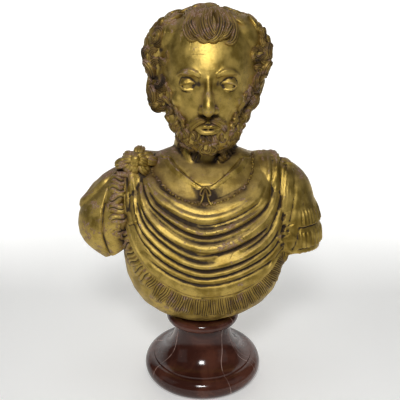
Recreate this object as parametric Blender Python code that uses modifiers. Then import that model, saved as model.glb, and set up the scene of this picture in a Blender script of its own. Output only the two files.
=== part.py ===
"""A life-size gilt bust of a bearded man in a Roman cloak, on a turned marble socle.

The bust is carved as one block and stands loose on the socle. Units are metres, +Z is up, the figure faces
-Y, and the origin is the centre of the socle's underside.
"""
import math
import random

import bmesh
import bpy
import numpy as np
from mathutils import Matrix, Vector
from mathutils.bvhtree import BVHTree

# Socle, whose neck falls by NECK_STEP from the ring
BASE_RADIUS = 0.1175
BASE_HEIGHT = 0.0390
BASE_BULGE = 0.0183
GROOVE_RADIUS = 0.0988
GROOVE_DEPTH = 0.0025
NECK_RADIUS = 0.0535
NECK_STEP = 0.0020
RING_RADIUS = 0.0722
RING_BULGE = 0.0108
RING_HEIGHT = 0.0204
SOCLE_HEIGHT = 0.1345
SOCLE_STEPS = 40

# Bust, and the room left between it and the socle
REST_GAP = 0.0003
FOOT_RADIUS = 0.0540
BUST_HEIGHT = 0.5785
VOXEL = BUST_HEIGHT * 0.0059
BUST_TRIANGLES = 7800

# The figure's pose and proportions are shares of the bust's height.
# Chest: height over the bust's underside, middle, half width, front and back of each level section
CHEST_SECTIONS = (
    (0.0121, -0.0017, 0.1124, -0.1106, 0.1037),
    (0.0346, 0.0, 0.1703, -0.1366, 0.1158),
    (0.0640, 0.0026, 0.2118, -0.1538, 0.1245),
    (0.1037, 0.0052, 0.2403, -0.1659, 0.1331),
    (0.1556, 0.0043, 0.2593, -0.1746, 0.1417),
    (0.2161, 0.0043, 0.2662, -0.1815, 0.1487),
    (0.2852, 0.0061, 0.2671, -0.1850, 0.1556),
    (0.3544, 0.0061, 0.2662, -0.1798, 0.1625),
    (0.4235, 0.0061, 0.2593, -0.1573, 0.1625),
    (0.4754, 0.0061, 0.2385, -0.1210, 0.1521),
    (0.5186, 0.0061, 0.1988, -0.0847, 0.1348),
    (0.5480, 0.0061, 0.1469, -0.0553, 0.1141),
    (0.5670, 0.0061, 0.0951, -0.0311, 0.0899),
)
CHEST_POWER = 2.3
CHEST_SIDES = 64

# Head
HEAD_CENTRE = (0.0138, -0.0138, 0.7770)
HEAD_PITCH = math.radians(6)
SKULL_RADII = (0.1348, 0.1677, 0.1711)
HAIR_RADII = (0.1703, 0.1867, 0.1910)
JAW_RADII = (0.1080, 0.1054, 0.0994)
HAIR_DEPTH = 0.0086
WHORL = (180, 62)
# Rolls of side hair: centre and radii of the upper and lower one, on the figure's right and then on its left
NEAR_ROLLS = (
    ((-0.1366, 0.0104, 0.0640), (0.0501, 0.0674, 0.0830)),
    ((-0.1322, 0.0069, -0.0415), (0.0493, 0.0640, 0.0640)),
)
FAR_ROLLS = (
    ((0.1366, 0.0104, 0.0590), (0.0493, 0.0674, 0.0830)),
    ((0.1200, 0.0069, -0.0470), (0.0352, 0.0588, 0.0570)),
)
CURL_LIFT = 0.0138

# Drapery
FOLD_HEIGHT = 0.0090
FOLD_WIDTH = 0.0105
CLOAK_THICKNESS = 0.0040
FRINGE_WIDTH = 0.0380
FRINGE_HEIGHT = 0.0050
FRINGE_PITCH = 0.0140
COLLAR_HEIGHT = 0.0030
COLLAR_WIDTH = 0.0070
CLASP_RADIUS = 0.0300
FLAP_STEP = 0.0070
FLAP_TIERS = 3

# Each fold: its place at the clasp, on the chest and at the far shoulder, its shares of the fold width and
# height, and where it starts and stops, as shares of the way from the clasp to the far shoulder
FOLDS = (
    (-0.06, -0.02, -0.06, 0.50, 0.45, 0.0, 2.0),
    (0.05, 0.085, 0.05, 1.20, 0.85, 0.0, 2.0),
    (0.17, 0.235, 0.20, 0.80, 1.00, 0.0, 2.0),
    (0.36, 0.455, 0.43, 1.00, 1.05, 0.0, 2.0),
    (0.47, 0.570, 0.56, 0.75, 0.85, 0.0, 0.5),
    (0.60, 0.690, 0.70, 0.85, 1.00, 0.0, 2.0),
    (0.74, 0.810, 0.84, 0.75, 0.80, 0.1, 1.3),
    (0.90, 0.920, 0.98, 0.70, 0.65, 0.2, 0.8),
)

SOCLE_TOP = SOCLE_HEIGHT
BUST_FLOOR = SOCLE_TOP + REST_GAP
GILDING = ((0.42, 0.30, 0.09, 1.0), 0.38, 0.85)
MARBLE = ((0.085, 0.026, 0.018, 1.0), 0.12, 0.0)


def clear_scene():
    """Remove what the new scene holds."""
    for thing in list(bpy.data.objects):
        bpy.data.objects.remove(thing, do_unlink=True)


def make_material(name, look):
    """A plain Principled material of one colour, roughness and metallic value."""
    colour, roughness, metallic = look
    material = bpy.data.materials.new(name)
    material.use_nodes = True
    shader = material.node_tree.nodes["Principled BSDF"]
    shader.inputs["Base Color"].default_value = colour
    shader.inputs["Roughness"].default_value = roughness
    shader.inputs["Metallic"].default_value = metallic
    material.diffuse_color = colour
    return material


def link_object(name, mesh, collection):
    """An object of this mesh in the collection."""
    thing = bpy.data.objects.new(name, mesh)
    collection.objects.link(thing)
    return thing


def evaluated_mesh(thing):
    """A new mesh of the object as its modifiers leave it, in world space."""
    graph = bpy.context.evaluated_depsgraph_get()
    graph.update()
    mesh = bpy.data.meshes.new_from_object(thing.evaluated_get(graph))
    mesh.transform(thing.matrix_world)
    return mesh


def smooth_path(points, count):
    """Evenly parametrised points of a Catmull-Rom curve through the given points."""
    p = np.asarray(points, dtype=float)
    p = np.vstack([2 * p[0] - p[1], p, 2 * p[-1] - p[-2]])
    at = np.linspace(0, len(p) - 3, count)
    k = np.minimum(at.astype(int), len(p) - 4)
    t = (at - k)[:, None]
    a, b, c, d = p[k], p[k + 1], p[k + 2], p[k + 3]
    bend = 2 * a - 5 * b + 4 * c - d
    twist = 3 * b - 3 * c + d - a
    return 0.5 * (2 * b + (c - a) * t + bend * t ** 2 + twist * t ** 3)


# The socle

def socle_profile():
    """Radius and height of the turned outline, from the top edge down its outer side to the underside."""
    points = []
    ring_middle = SOCLE_HEIGHT - RING_HEIGHT / 2
    ring_core = RING_RADIUS - RING_BULGE
    for i in range(8):
        turn = math.pi / 2 - math.pi * i / 7
        points.append((ring_core + RING_BULGE * math.cos(turn),
                       ring_middle + RING_HEIGHT / 2 * math.sin(turn)))
    neck_top = ring_middle - RING_HEIGHT / 2 - NECK_STEP
    sweep = GROOVE_RADIUS - NECK_RADIUS
    drop = neck_top - (BASE_HEIGHT + GROOVE_DEPTH)
    for i in range(7):
        turn = math.pi / 2 * i / 6
        points.append((NECK_RADIUS + sweep * (1 - math.cos(turn)), neck_top - drop * math.sin(turn)))
    points.append((GROOVE_RADIUS + GROOVE_DEPTH * 0.24, BASE_HEIGHT - GROOVE_DEPTH * 0.2))
    base_core = BASE_RADIUS - BASE_BULGE
    for i in range(8):
        turn = math.radians(76) - math.radians(166) * i / 7
        points.append((base_core + BASE_BULGE * math.cos(turn), BASE_HEIGHT / 2 * (1 + math.sin(turn))))
    return points


def make_socle(collection, material):
    """One turned piece of marble: torus foot, hollow neck and a half-round ring on top."""
    mesh = bpy.data.meshes.new("socle")
    profile = [(0.0, SOCLE_HEIGHT)] + socle_profile() + [(0.0, 0.0)]
    mesh.from_pydata([(r, 0.0, z) for r, z in profile], [(i, i + 1) for i in range(len(profile) - 1)], [])
    socle = link_object("socle", mesh, collection)
    screw = socle.modifiers.new("turning", "SCREW")
    screw.steps = SOCLE_STEPS
    screw.render_steps = SOCLE_STEPS
    screw.use_merge_vertices = True
    screw.merge_threshold = 0.0001
    screw.use_smooth_shade = True
    mesh.materials.append(material)
    return socle


# Masses of the bust

def add_ball(shape, centre, radii, turn=(0, 0, 0), segments=32):
    """An ellipsoid, turned by angles in degrees about X, Y and Z."""
    ring = bmesh.ops.create_uvsphere(shape, u_segments=segments, v_segments=segments // 2, radius=1.0)
    spin = Matrix.Identity(4)
    for axis, degrees in zip("XYZ", turn):
        spin = Matrix.Rotation(math.radians(degrees), 4, axis) @ spin
    place = Matrix.Translation(centre) @ spin @ Matrix.Diagonal((*radii, 1.0))
    bmesh.ops.transform(shape, matrix=place, verts=ring["verts"])


def sized(shares):
    """Lengths in metres, from shares of the bust's height."""
    return [share * BUST_HEIGHT for share in shares]


def add_loft(shape, sections, power, sides):
    """A closed loft through level superellipse sections of height, middle, half width, front and back."""
    rings = []
    for height, middle, half_width, front, back in sections:
        ring = []
        for k in range(sides):
            turn = 2 * math.pi * k / sides
            c, s = math.cos(turn), math.sin(turn)
            x = middle + half_width * math.copysign(abs(c) ** (2 / power), c)
            y = (back if s > 0 else -front) * math.copysign(abs(s) ** (2 / power), s)
            ring.append(shape.verts.new((x, y, height)))
        rings.append(ring)
    for low, high in zip(rings, rings[1:]):
        for k in range(sides):
            shape.faces.new((low[k], low[(k + 1) % sides], high[(k + 1) % sides], high[k]))
    shape.faces.new(rings[0][::-1])
    shape.faces.new(rings[-1])


def add_tube(shape, points, radii, flat=1.0, sides=12, count=16, lean=None):
    """A closed tapering tube on a smooth path. flat squeezes it along its lean, which points outward."""
    path = smooth_path(points, count)
    size = np.interp(np.linspace(0, 1, count), np.linspace(0, 1, len(radii)), radii)
    forward = np.gradient(path, axis=0)
    forward /= np.linalg.norm(forward, axis=1)[:, None] + 1e-12
    rings = []
    up = Vector(lean) if lean is not None else Vector((0, -1, 0.3))
    for point, radius, ahead in zip(path, size, forward):
        ahead = Vector(ahead)
        side = ahead.cross(up).normalized()
        rise = side.cross(ahead).normalized()
        ring = []
        for k in range(sides):
            turn = 2 * math.pi * k / sides
            spot = Vector(point) + side * (radius * math.cos(turn)) + rise * (radius * flat * math.sin(turn))
            ring.append(shape.verts.new(spot))
        rings.append(ring)
    for low, high in zip(rings, rings[1:]):
        for k in range(sides):
            shape.faces.new((low[k], low[(k + 1) % sides], high[(k + 1) % sides], high[k]))
    shape.faces.new(rings[0][::-1])
    shape.faces.new(rings[-1])


def mass_ball(shape, centre, radii):
    """An ellipsoid whose centre and radii are shares of the bust's height."""
    add_ball(shape, sized(centre), sized(radii))


def mass_tube(shape, points, radii, sides=12):
    """A tapering tube whose points and radii are shares of the bust's height."""
    add_tube(shape, [sized(point) for point in points], sized(radii), sides=sides)


def head_place():
    """Matrix from the head's own frame (origin in the skull) to the bust's."""
    return Matrix.Translation(sized(HEAD_CENTRE)) @ Matrix.Rotation(HEAD_PITCH, 4, "X")


def torso_masses(shape):
    """Chest, shoulders, arm stubs and the root of the neck."""
    foot = (0.0, 0.0, FOOT_RADIUS, -FOOT_RADIUS, FOOT_RADIUS)
    add_loft(shape, [foot] + [sized(section) for section in CHEST_SECTIONS], CHEST_POWER, CHEST_SIDES)
    shoulders = ((-0.2334, 0.0069, 0.4529), (0.0, 0.0346, 0.4529), (0.2334, 0.0069, 0.4477))
    near_arm = ((-0.1815, 0.0069, 0.4667), (-0.2489, 0.0035, 0.4114), (-0.2939, -0.0035, 0.3509),
                (-0.3077, -0.0104, 0.3077), (-0.2627, -0.0138, 0.2385))
    far_arm = ((0.2040, 0.0069, 0.4702), (0.2524, 0.0035, 0.4218), (0.2714, -0.0035, 0.3544),
               (0.2818, -0.0069, 0.2939), (0.2852, -0.0104, 0.2403))
    neck = ((0.0052, 0.0311, 0.4322), (0.0069, 0.0311, 0.5359), (0.0104, 0.0207, 0.6050),
            (0.0121, 0.0104, 0.6914))
    mass_tube(shape, shoulders, (0.0968, 0.0882, 0.0985), sides=24)
    mass_tube(shape, near_arm, (0.0657, 0.0968, 0.1072, 0.1020, 0.0743), sides=24)
    mass_tube(shape, far_arm, (0.0812, 0.0968, 0.0968, 0.1003, 0.0951), sides=24)
    mass_tube(shape, neck, (0.1175, 0.1054, 0.0951, 0.0968), sides=24)


def head_masses(shape):
    """Skull, face, jaw, nose, brows, lips and neck muscles, in the head's own frame and then set in place."""
    head = bmesh.new()
    mass_ball(head, (0, 0, 0.0173), SKULL_RADII)
    mass_ball(head, (0, 0.0242, 0.0173), (HAIR_RADII[0] - HAIR_DEPTH, 0.1556, HAIR_RADII[2] - 0.0138))
    mass_ball(head, (0, -0.0657, -0.1452), (0.0951, 0.0933, 0.0640))
    mass_ball(head, (0, -0.0138, 0.0484), (0.1435, 0.1452, 0.1469))
    mass_ball(head, (0, 0.0519, 0.0138), (0.1590, 0.1330, 0.1790))
    mass_ball(head, (0, -0.0622, -0.0346), (0.1072, 0.1003, 0.1487))
    mass_ball(head, (0, -0.0761, -0.1279), (0.0864, 0.0830, 0.0761))
    mass_ball(head, (0, -0.1452, -0.1659), (0.0328, 0.0259, 0.0294))
    mass_ball(head, (0, -0.1400, -0.1072), (0.0484, 0.0268, 0.0328))
    for centre, radii in NEAR_ROLLS + FAR_ROLLS:
        mass_ball(head, centre, radii)
    mass_tube(head, ((0, -0.1521, 0.0277), (0, -0.1798, -0.0138), (0, -0.2005, -0.0519),
                     (0, -0.1798, -0.0691)),
             (0.0121, 0.0130, 0.0190, 0.0121))
    for side in (-1, 1):
        mass_ball(head, (side * 0.0207, -0.1729, -0.0588), (0.0112, 0.0138, 0.0112))
        mass_tube(head, ((side * 0.0138, -0.1504, 0.0207), (side * 0.0484, -0.1521, 0.0346),
                         (side * 0.0830, -0.1210, 0.0242)),
                 (0.0104, 0.0138, 0.0086))
        mass_ball(head, (side * 0.0536, -0.1245, 0.0017), (0.0259, 0.0216, 0.0207))
        mass_ball(head, (side * 0.0761, -0.1141, -0.0449), (0.0277, 0.0242, 0.0259))
        mass_ball(head, (side * 0.1245, 0.0691, 0.0225), (0.0519, 0.0830, 0.1210))
        mass_ball(head, (side * 0.0860, 0.0173, 0.1150), (0.0745, 0.1141, 0.0725))
        mass_tube(head, ((side * 0.1141, -0.0069, -0.0346), (side * 0.1037, -0.0449, -0.0968),
                         (side * 0.0657, -0.1003, -0.1452)),
                 (0.0173, 0.0233, 0.0242))
        mass_tube(head, ((side * 0.0035, -0.1711, -0.0899), (side * 0.0277, -0.1625, -0.1037),
                         (side * 0.0449, -0.1435, -0.1314)),
                 (0.0112, 0.0130, 0.0069))
    mass_ball(head, (0, -0.1608, -0.1141), (0.0294, 0.0156, 0.0090))
    bmesh.ops.transform(head, matrix=head_place(), verts=head.verts)
    mesh = bpy.data.meshes.new("head")
    head.to_mesh(mesh)
    head.free()
    shape.from_mesh(mesh)
    bpy.data.meshes.remove(mesh)
    for side in (-1, 1):
        mass_tube(shape, ((0.0121 + side * 0.1072, 0.0311, 0.7053), (0.0104 + side * 0.0761, -0.0346, 0.6050),
                         (0.0069 + side * 0.0259, -0.0795, 0.5013)), (0.0190, 0.0173, 0.0138))


def fused_mesh(shape, voxel, rounds, name):
    """One closed skin around all the masses in the shape, smoothed over a number of rounds."""
    mesh = bpy.data.meshes.new(name)
    shape.to_mesh(mesh)
    shape.free()
    holder = bpy.data.objects.new(name, mesh)
    bpy.context.scene.collection.objects.link(holder)
    remesh = holder.modifiers.new("fuse", "REMESH")
    remesh.mode = "VOXEL"
    remesh.voxel_size = voxel
    soften = holder.modifiers.new("soften", "SMOOTH")
    soften.factor = 0.5
    soften.iterations = rounds
    fused = evaluated_mesh(holder)
    bpy.data.objects.remove(holder, do_unlink=True)
    return fused


# Carving on the skin

class Skin:
    """A skin whose points are raised or sunk along its normals."""

    def __init__(self, mesh):
        self.mesh = mesh
        count = len(mesh.vertices)
        self.at = np.empty(count * 3)
        mesh.vertices.foreach_get("co", self.at)
        self.at = self.at.reshape(-1, 3)
        self.normal = np.empty(count * 3)
        mesh.vertices.foreach_get("normal", self.normal)
        self.normal = self.normal.reshape(-1, 3)
        self.relief = np.zeros(count)
        shape = bmesh.new()
        shape.from_mesh(mesh)
        self.tree = BVHTree.FromBMesh(shape)
        shape.free()

    def hit(self, start, way):
        """Where a ray from start, in shares of the bust's height, meets the skin."""
        spot = self.tree.ray_cast(Vector(sized(start)), Vector(way))[0]
        return tuple(spot)

    def front(self, x, z):
        """The skin's front point at this x and height."""
        return self.hit((x, -1.0, z), (0, 1, 0))

    def back(self, x, z):
        """The skin's back point at this x and height."""
        return self.hit((x, 1.0, z), (0, -1, 0))

    def top(self, x, y):
        """The skin's top point at this x and y, met from below the head."""
        return self.hit((x, y, 0.5964), (0, 0, -1))

    def apply(self):
        """Move the points by their relief."""
        moved = self.at + self.normal * self.relief[:, None]
        self.mesh.vertices.foreach_set("co", moved.ravel())
        self.mesh.update()


class Track:
    """A path on a skin, which gives nearby points their place along it and beside it."""

    def __init__(self, skin, points, count=70):
        path = smooth_path(points, count)
        near = [skin.tree.find_nearest(Vector(p)) for p in path]
        self.path = np.array([n[0] for n in near])
        self.up = np.array([n[1] for n in near])
        ahead = np.gradient(self.path, axis=0)
        self.ahead = ahead / (np.linalg.norm(ahead, axis=1)[:, None] + 1e-12)
        self.beside = np.cross(self.up, self.ahead)
        steps = np.linalg.norm(np.diff(self.path, axis=0), axis=1)
        self.along = np.concatenate([[0.0], np.cumsum(steps)])
        self.length = self.along[-1]

    def measure(self, at, reach):
        """Indices of the points within reach, and their distances along the track and beside it."""
        low, high = self.path.min(axis=0) - reach, self.path.max(axis=0) + reach
        near = np.where(np.all((at > low) & (at < high), axis=1))[0]
        gap = at[near][:, None, :] - self.path[None, :, :]
        nearest = np.argmin((gap ** 2).sum(axis=2), axis=1)
        offset = gap[np.arange(len(near)), nearest]
        along = self.along[nearest] + (offset * self.ahead[nearest]).sum(axis=1)
        beside = (offset * self.beside[nearest]).sum(axis=1)
        away = np.linalg.norm(offset, axis=1)
        keep = away < reach
        return near[keep], along[keep], beside[keep]


def fold_track(skin, near, middle, far):
    """One fold of the cloak, from the clasp across the chest, over the far shoulder and round the back."""
    fall, climb = (near + middle) / 2, (middle + far) / 2
    points = [
        skin.front(-0.1798 - 0.0588 * near, 0.4978),
        skin.front(-0.1175 - 0.0864 * fall, 0.4356 - 0.1469 * fall),
        skin.front(0.0069 - 0.0173 * middle, 0.3959 - 0.2282 * middle),
        skin.front(0.1141 + 0.0622 * climb, 0.4339 - 0.1901 * climb),
        skin.front(0.1452 + 0.0899 * far, 0.5099 - 0.1469 * far),
        skin.top(0.1487 + 0.0899 * far, 0.0173),
        skin.back(0.1383 + 0.0778 * far, 0.4667 - 0.0864 * far),
        skin.back(0.0173, 0.4322 - 0.2593 * middle),
        skin.back(-0.1469 - 0.0519 * near, 0.4667 - 0.1037 * near),
        skin.top(-0.1729 - 0.0519 * near, 0.0519),
    ]
    return Track(skin, points, 118)


def carve_folds(skin):
    """Rounded ridges of cloth with steep lower sides."""
    raised = np.zeros(len(skin.at))
    for near_place, middle, far, width_share, height_share, start, stop in FOLDS:
        track = fold_track(skin, near_place, middle, far)
        shoulder = track.along[65]
        near, along, beside = track.measure(skin.at, FOLD_WIDTH * 2.5)
        share = along / shoulder
        swell = 0.55 + 0.45 * np.sin(np.pi * np.clip(share * 1.15, 0, 1)) ** 0.6
        spread = 0.45 + 0.55 * np.clip(share / 0.45, 0, 1)
        plain = np.where(share > 1.0, 0.6, 1.0)
        fade = np.clip((share - start) / 0.06 + 0.3, 0, 1) * np.clip((stop - share) / 0.06, 0, 1)
        width = FOLD_WIDTH * width_share * spread * np.where(beside > 0, 1.15, 0.75)
        ridge = FOLD_HEIGHT * height_share * swell * plain * fade * np.exp(-((beside / width) ** 2))
        raised[near] = np.maximum(raised[near], ridge)
    skin.relief += raised


def hem_points(skin):
    """The cloak's lower edge, from the clasp down across the belly and up the far side."""
    return [skin.front(-0.2403, 0.4978), skin.front(-0.2437, 0.4235), skin.front(-0.2368, 0.3405),
            skin.front(-0.1936, 0.2472), skin.front(-0.1279, 0.1746), skin.front(-0.0346, 0.1285),
            skin.front(0.0519, 0.1255), skin.front(0.1210, 0.1420), skin.front(0.1901, 0.1867),
            skin.front(0.2420, 0.2593), skin.back(0.2593, 0.2593), skin.back(0.1729, 0.1556),
            skin.back(0.0, 0.1175), skin.back(-0.1729, 0.1729), skin.back(-0.2334, 0.2766),
            skin.back(-0.2420, 0.4322)]


def carve_hem(skin):
    """The cloak's edge: cloth that stands off the breastplate, with a fringe of strands below it."""
    track = Track(skin, hem_points(skin), 150)
    near, along, beside = track.measure(skin.at, FRINGE_WIDTH * 1.25)
    strand = np.abs(np.sin(np.pi * along / FRINGE_PITCH))
    inside = np.clip(beside / CLOAK_THICKNESS + 0.5, 0, 1)
    ragged = FRINGE_WIDTH * (0.92 + 0.08 * np.sin(2.3 * along / FRINGE_PITCH))
    fringe = np.clip((beside + ragged) / CLOAK_THICKNESS, 0, 1) * (1 - inside)
    skin.relief[near] += FRINGE_HEIGHT * fringe * (0.45 + 0.55 * strand)
    skin.relief[near] += CLOAK_THICKNESS * inside * np.clip(1.4 - beside / FRINGE_WIDTH, 0, 1)


def carve_collar(skin):
    """Two cords round the neckline of the tunic."""
    inner = [skin.top(-0.1037, 0.0519), skin.front(-0.1037, 0.5324), skin.front(-0.0484, 0.4892),
             skin.front(0.0069, 0.4702),
             skin.front(0.0657, 0.4927), skin.front(0.1210, 0.5290), skin.top(0.1210, 0.0519)]
    outer = [skin.top(-0.1729, 0.0173), skin.front(-0.1556, 0.5048), skin.front(-0.0778, 0.4391),
             skin.front(0.0069, 0.4201),
             skin.front(0.0864, 0.4408), skin.front(0.1469, 0.4927), skin.top(0.1469, 0.0173)]
    for points, half in ((inner, COLLAR_WIDTH / 2), (outer, COLLAR_WIDTH * 0.7)):
        track = Track(skin, points, 80)
        near, along, beside = track.measure(skin.at, half * 3)
        skin.relief[near] = np.maximum(skin.relief[near], COLLAR_HEIGHT * np.exp(-((beside / half) ** 2)))


def carve_flaps(skin):
    """Tiers of fringed leather flaps on the far arm stub, and straps on the near one."""
    x, y, z = skin.at.T / BUST_HEIGHT
    arm = np.clip((x - 0.263) / 0.017, 0, 1)
    top, low = 0.401, 0.207
    tier = (top - z) / (top - low) * FLAP_TIERS
    step = np.where((tier > 0) & (tier < FLAP_TIERS), tier % 1.0, 0.0)
    turn = np.arctan2(y, x - 0.259)
    strand = 0.75 + 0.25 * np.abs(np.sin(turn * 9))
    skin.relief += arm * FLAP_STEP * step * strand
    sleeve = np.clip((-0.285 - x) / 0.021, 0, 1)
    edge = 0.389 + (x + 0.392) * 0.9
    below = np.clip((edge - z) / 0.007, 0, 1)
    turn = np.arctan2(y, -(x + 0.259))
    strap = np.abs(np.sin(turn * 3.5))
    skin.relief -= sleeve * below * FLAP_STEP * (0.36 + 0.43 * (1 - np.clip(strap * 3, 0, 1)))


# Hair and beard

class Scalp:
    """An ellipsoid in the head's frame for laying locks on. Its sizes are shares of the bust's height."""

    def __init__(self, centre, radii):
        self.centre = Vector(sized(centre))
        self.radii = Vector(sized(radii))

    def point(self, turn, rise):
        """The surface point at an angle round from the face (degrees, + to the figure's left) and up."""
        a, e = math.radians(turn), math.radians(rise)
        way = Vector((math.sin(a) * math.cos(e), -math.cos(a) * math.cos(e), math.sin(e)))
        return self.centre + Vector([w * r for w, r in zip(way, self.radii)])

    def settle(self, point, lift):
        """The point moved along its ray to stand lift above the surface."""
        way = point - self.centre
        scaled = Vector([w / r for w, r in zip(way, self.radii)])
        return self.centre + way / scaled.length + way.normalized() * lift

    def out(self, point):
        """The outward normal near a point."""
        way = point - self.centre
        return Vector([w / r ** 2 for w, r in zip(way, self.radii)]).normalized()


def lay_lock(shape, scalp, turn, rise, swerve, curl, length, width, lift, sides=8):
    """A tapering lock from a place on the scalp, combed away from the whorl, off by swerve, and curling."""
    length, width, lift = sized((length, width, lift))
    steps = 7
    point = scalp.point(turn, rise)
    up = scalp.out(point)
    comb = point - scalp.point(*WHORL)
    way = Matrix.Rotation(math.radians(swerve), 3, up) @ (comb - up * comb.dot(up)).normalized()
    points = []
    for i in range(steps):
        t = i / (steps - 1)
        points.append(tuple(scalp.settle(point, lift * math.sin(math.pi * min(1.0, 0.15 + t * 0.75)))))
        up = scalp.out(point)
        way = (Matrix.Rotation(math.radians(curl) / steps, 3, up) @ (way - up * way.dot(up))).normalized()
        point = point + way * (length / steps)
    radii = [width * s for s in (0.42, 0.52, 0.55, 0.53, 0.46, 0.34, 0.16)]
    add_tube(shape, points, radii, flat=0.75, sides=sides, count=9, lean=tuple(scalp.out(Vector(points[3]))))


def lay_curl(shape, scalp, turn, rise, radius, start, sweep, lift):
    """A lock rolled into a flat spiral of this outer radius, from the start angle over the sweep."""
    radius, lift = sized((radius, lift))
    middle = scalp.point(turn, rise)
    up = scalp.out(middle)
    high = (Vector((0, 0, 1)) - up * up.z).normalized()
    right = high.cross(up)
    points = []
    for i in range(9):
        t = i / 8
        angle = math.radians(start + sweep * t)
        reach = radius * (0.62 - 0.44 * t)
        spot = middle + right * (reach * math.cos(angle)) + high * (reach * math.sin(angle))
        points.append(tuple(scalp.settle(spot, lift * math.sin(math.pi * (0.12 + 0.70 * t)))))
    radii = [radius * s for s in (0.26, 0.38, 0.42, 0.40, 0.30, 0.16)]
    add_tube(shape, points, radii, flat=0.75, sides=8, count=16, lean=tuple(up))


def crown_locks(shape, rng):
    """Low locks combed from the whorl over the crown, and a forelock that falls on the brow."""
    scalp = Scalp((0, 0.0035, 0.0138), HAIR_RADII)
    for rise, count in ((86, 5), (74, 11), (61, 15), (48, 17)):
        for k in range(count):
            turn = 360 * (k + 0.5 * (count % 2)) / count + rng.uniform(-4, 4) - 180
            if (abs(turn) < 40 and rise < 70) or (abs(turn) < 62 and rise < 55):
                continue
            swerve = rng.uniform(-20, 20)
            curl = rng.choice((-1, 1)) * rng.uniform(40, 80)
            lay_lock(shape, scalp, turn, rise, swerve, curl, 0.0761, 0.0346, 0.0026)
    brow = Scalp((0, 0, 0.0173), [r + 0.0043 for r in SKULL_RADII])
    for k in range(10):
        turn = -34 + 7.2 * k
        lay_lock(shape, brow, turn * 1.25, 80 - 0.12 * abs(turn), turn * 0.2, 38 if k < 6 else -52,
                 0.1141 - 0.0012 * abs(turn), 0.0259, 0.0052 + 0.0024 * (k % 2))
    for side in (-1, 1):
        for k in range(5):
            lay_lock(shape, brow, side * (50 + 7 * k), 70 - 10 * k, side * 10, side * -45, 0.0726, 0.0277,
                     0.0061)


def side_curls(shape, rng):
    """Thick curls stacked on the roll of hair over each ear, larger on one side than on the other."""
    rows = ((-1, NEAR_ROLLS[0], ((34, 42, 0.0320, 140, -290), (48, -8, 0.0389, 120, -300))),
            (-1, NEAR_ROLLS[1], ((36, -6, 0.0346, 80, -260),)),
            (1, FAR_ROLLS[0], ((30, 44, 0.0285, 30, 290), (50, 14, 0.0320, 60, 300),
                               (42, -24, 0.0311, 60, 290))),
            (1, FAR_ROLLS[1], ((40, 22, 0.0277, 90, 280), (34, -30, 0.0242, 100, 250))))
    for side, place, curls in rows:
        roll = Scalp(*place)
        for turn, rise, radius, start, sweep in curls:
            lay_curl(shape, roll, side * turn, rise, radius, start, sweep, CURL_LIFT)
        for turn in (98, 142):
            for rise in (44, 4, -34):
                start = rng.uniform(40, 140)
                lay_curl(shape, roll, side * turn, rise + rng.uniform(-4, 4), 0.0303, start,
                         rng.choice((-1, 1)) * 285, CURL_LIFT * 0.7)


def nape_locks(shape, rng):
    """Rows of shorter locks down the back of the head."""
    scalp = Scalp((0, 0.0035, 0.0138), HAIR_RADII)
    for row, rise in enumerate((36, 22, 8, -6, -20, -34, -46)):
        for k in range(7):
            turn = 120 + 120 * (k + 0.5 * (row % 2)) / 6.5
            lay_lock(shape, scalp, turn, rise + rng.uniform(-3, 3), rng.uniform(-30, 30),
                     rng.choice((-1, 1)) * rng.uniform(70, 120), 0.0657, 0.0363, 0.0035)


def beard_locks(shape, rng):
    """Short curls along the jaw and over the chin."""
    jaw = Scalp((0, -0.0622, -0.1003), [r + 0.0043 for r in JAW_RADII])
    for rise, count, gap in ((22, 2, 80), (4, 4, 62), (-14, 6, 40), (-32, 9, 0), (-50, 8, 0), (-68, 5, 0)):
        for k in range(count):
            share = k / (count - 1) * 2 - 1
            side = 1 if share > 0 else -1
            turn = side * (gap + (86 - gap) * abs(share)) if gap else 84 * share
            lay_lock(shape, jaw, turn, rise, rng.uniform(-15, 15), side * rng.uniform(70, 130), 0.0501,
                     0.0259, 0.0035,
                     sides=7)


def clasp_lumps(shape, skin):
    """The knotted rosette that holds the cloak on the near shoulder."""
    size = CLASP_RADIUS
    middle = Vector(skin.front(-0.2022, 0.5203)) + Vector((0, -0.07, 0.27)) * size
    add_ball(shape, middle, (size * 0.8, size * 0.53, size * 0.62), (20, 0, 0), 20)
    for k in range(8):
        turn = 2 * math.pi * k / 8
        spot = middle + Vector((math.cos(turn) * 0.78, -0.2, math.sin(turn) * 0.52)) * size
        add_ball(shape, spot, (size * 0.35, size * 0.37, size * 0.32), (0, 0, 0), 12)
    add_ball(shape, middle + Vector((0, -0.4, 0)) * size, (size * 0.37, size * 0.3, size * 0.33),
             (0, 0, 0), 12)


def make_bust(collection, material):
    """The whole bust as one closed skin."""
    torso = bmesh.new()
    torso_masses(torso)
    head_masses(torso)
    skin = Skin(fused_mesh(torso, VOXEL, 6, "body"))
    carve_folds(skin)
    carve_collar(skin)
    carve_hem(skin)
    carve_flaps(skin)
    locks = bmesh.new()
    rng = random.Random(11)
    crown_locks(locks, rng)
    side_curls(locks, rng)
    nape_locks(locks, rng)
    beard_locks(locks, rng)
    bmesh.ops.transform(locks, matrix=head_place(), verts=locks.verts)
    clasp_lumps(locks, skin)
    skin.apply()
    locks.from_mesh(skin.mesh)
    whole = fused_mesh(locks, VOXEL, 1, "whole")
    bust = link_object("bust", whole, collection)
    bust.location.z = BUST_FLOOR
    slim = bust.modifiers.new("slim", "DECIMATE")
    slim.ratio = BUST_TRIANGLES / sum(len(p.vertices) - 2 for p in whole.polygons)
    whole.materials.clear()
    whole.materials.append(material)
    return bust


def main():
    """Build both pieces."""
    clear_scene()
    collection = bpy.data.collections.new("emperor bust")
    bpy.context.scene.collection.children.link(collection)
    make_socle(collection, make_material("red marble", MARBLE))
    make_bust(collection, make_material("worn gilding", GILDING))


main()
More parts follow.
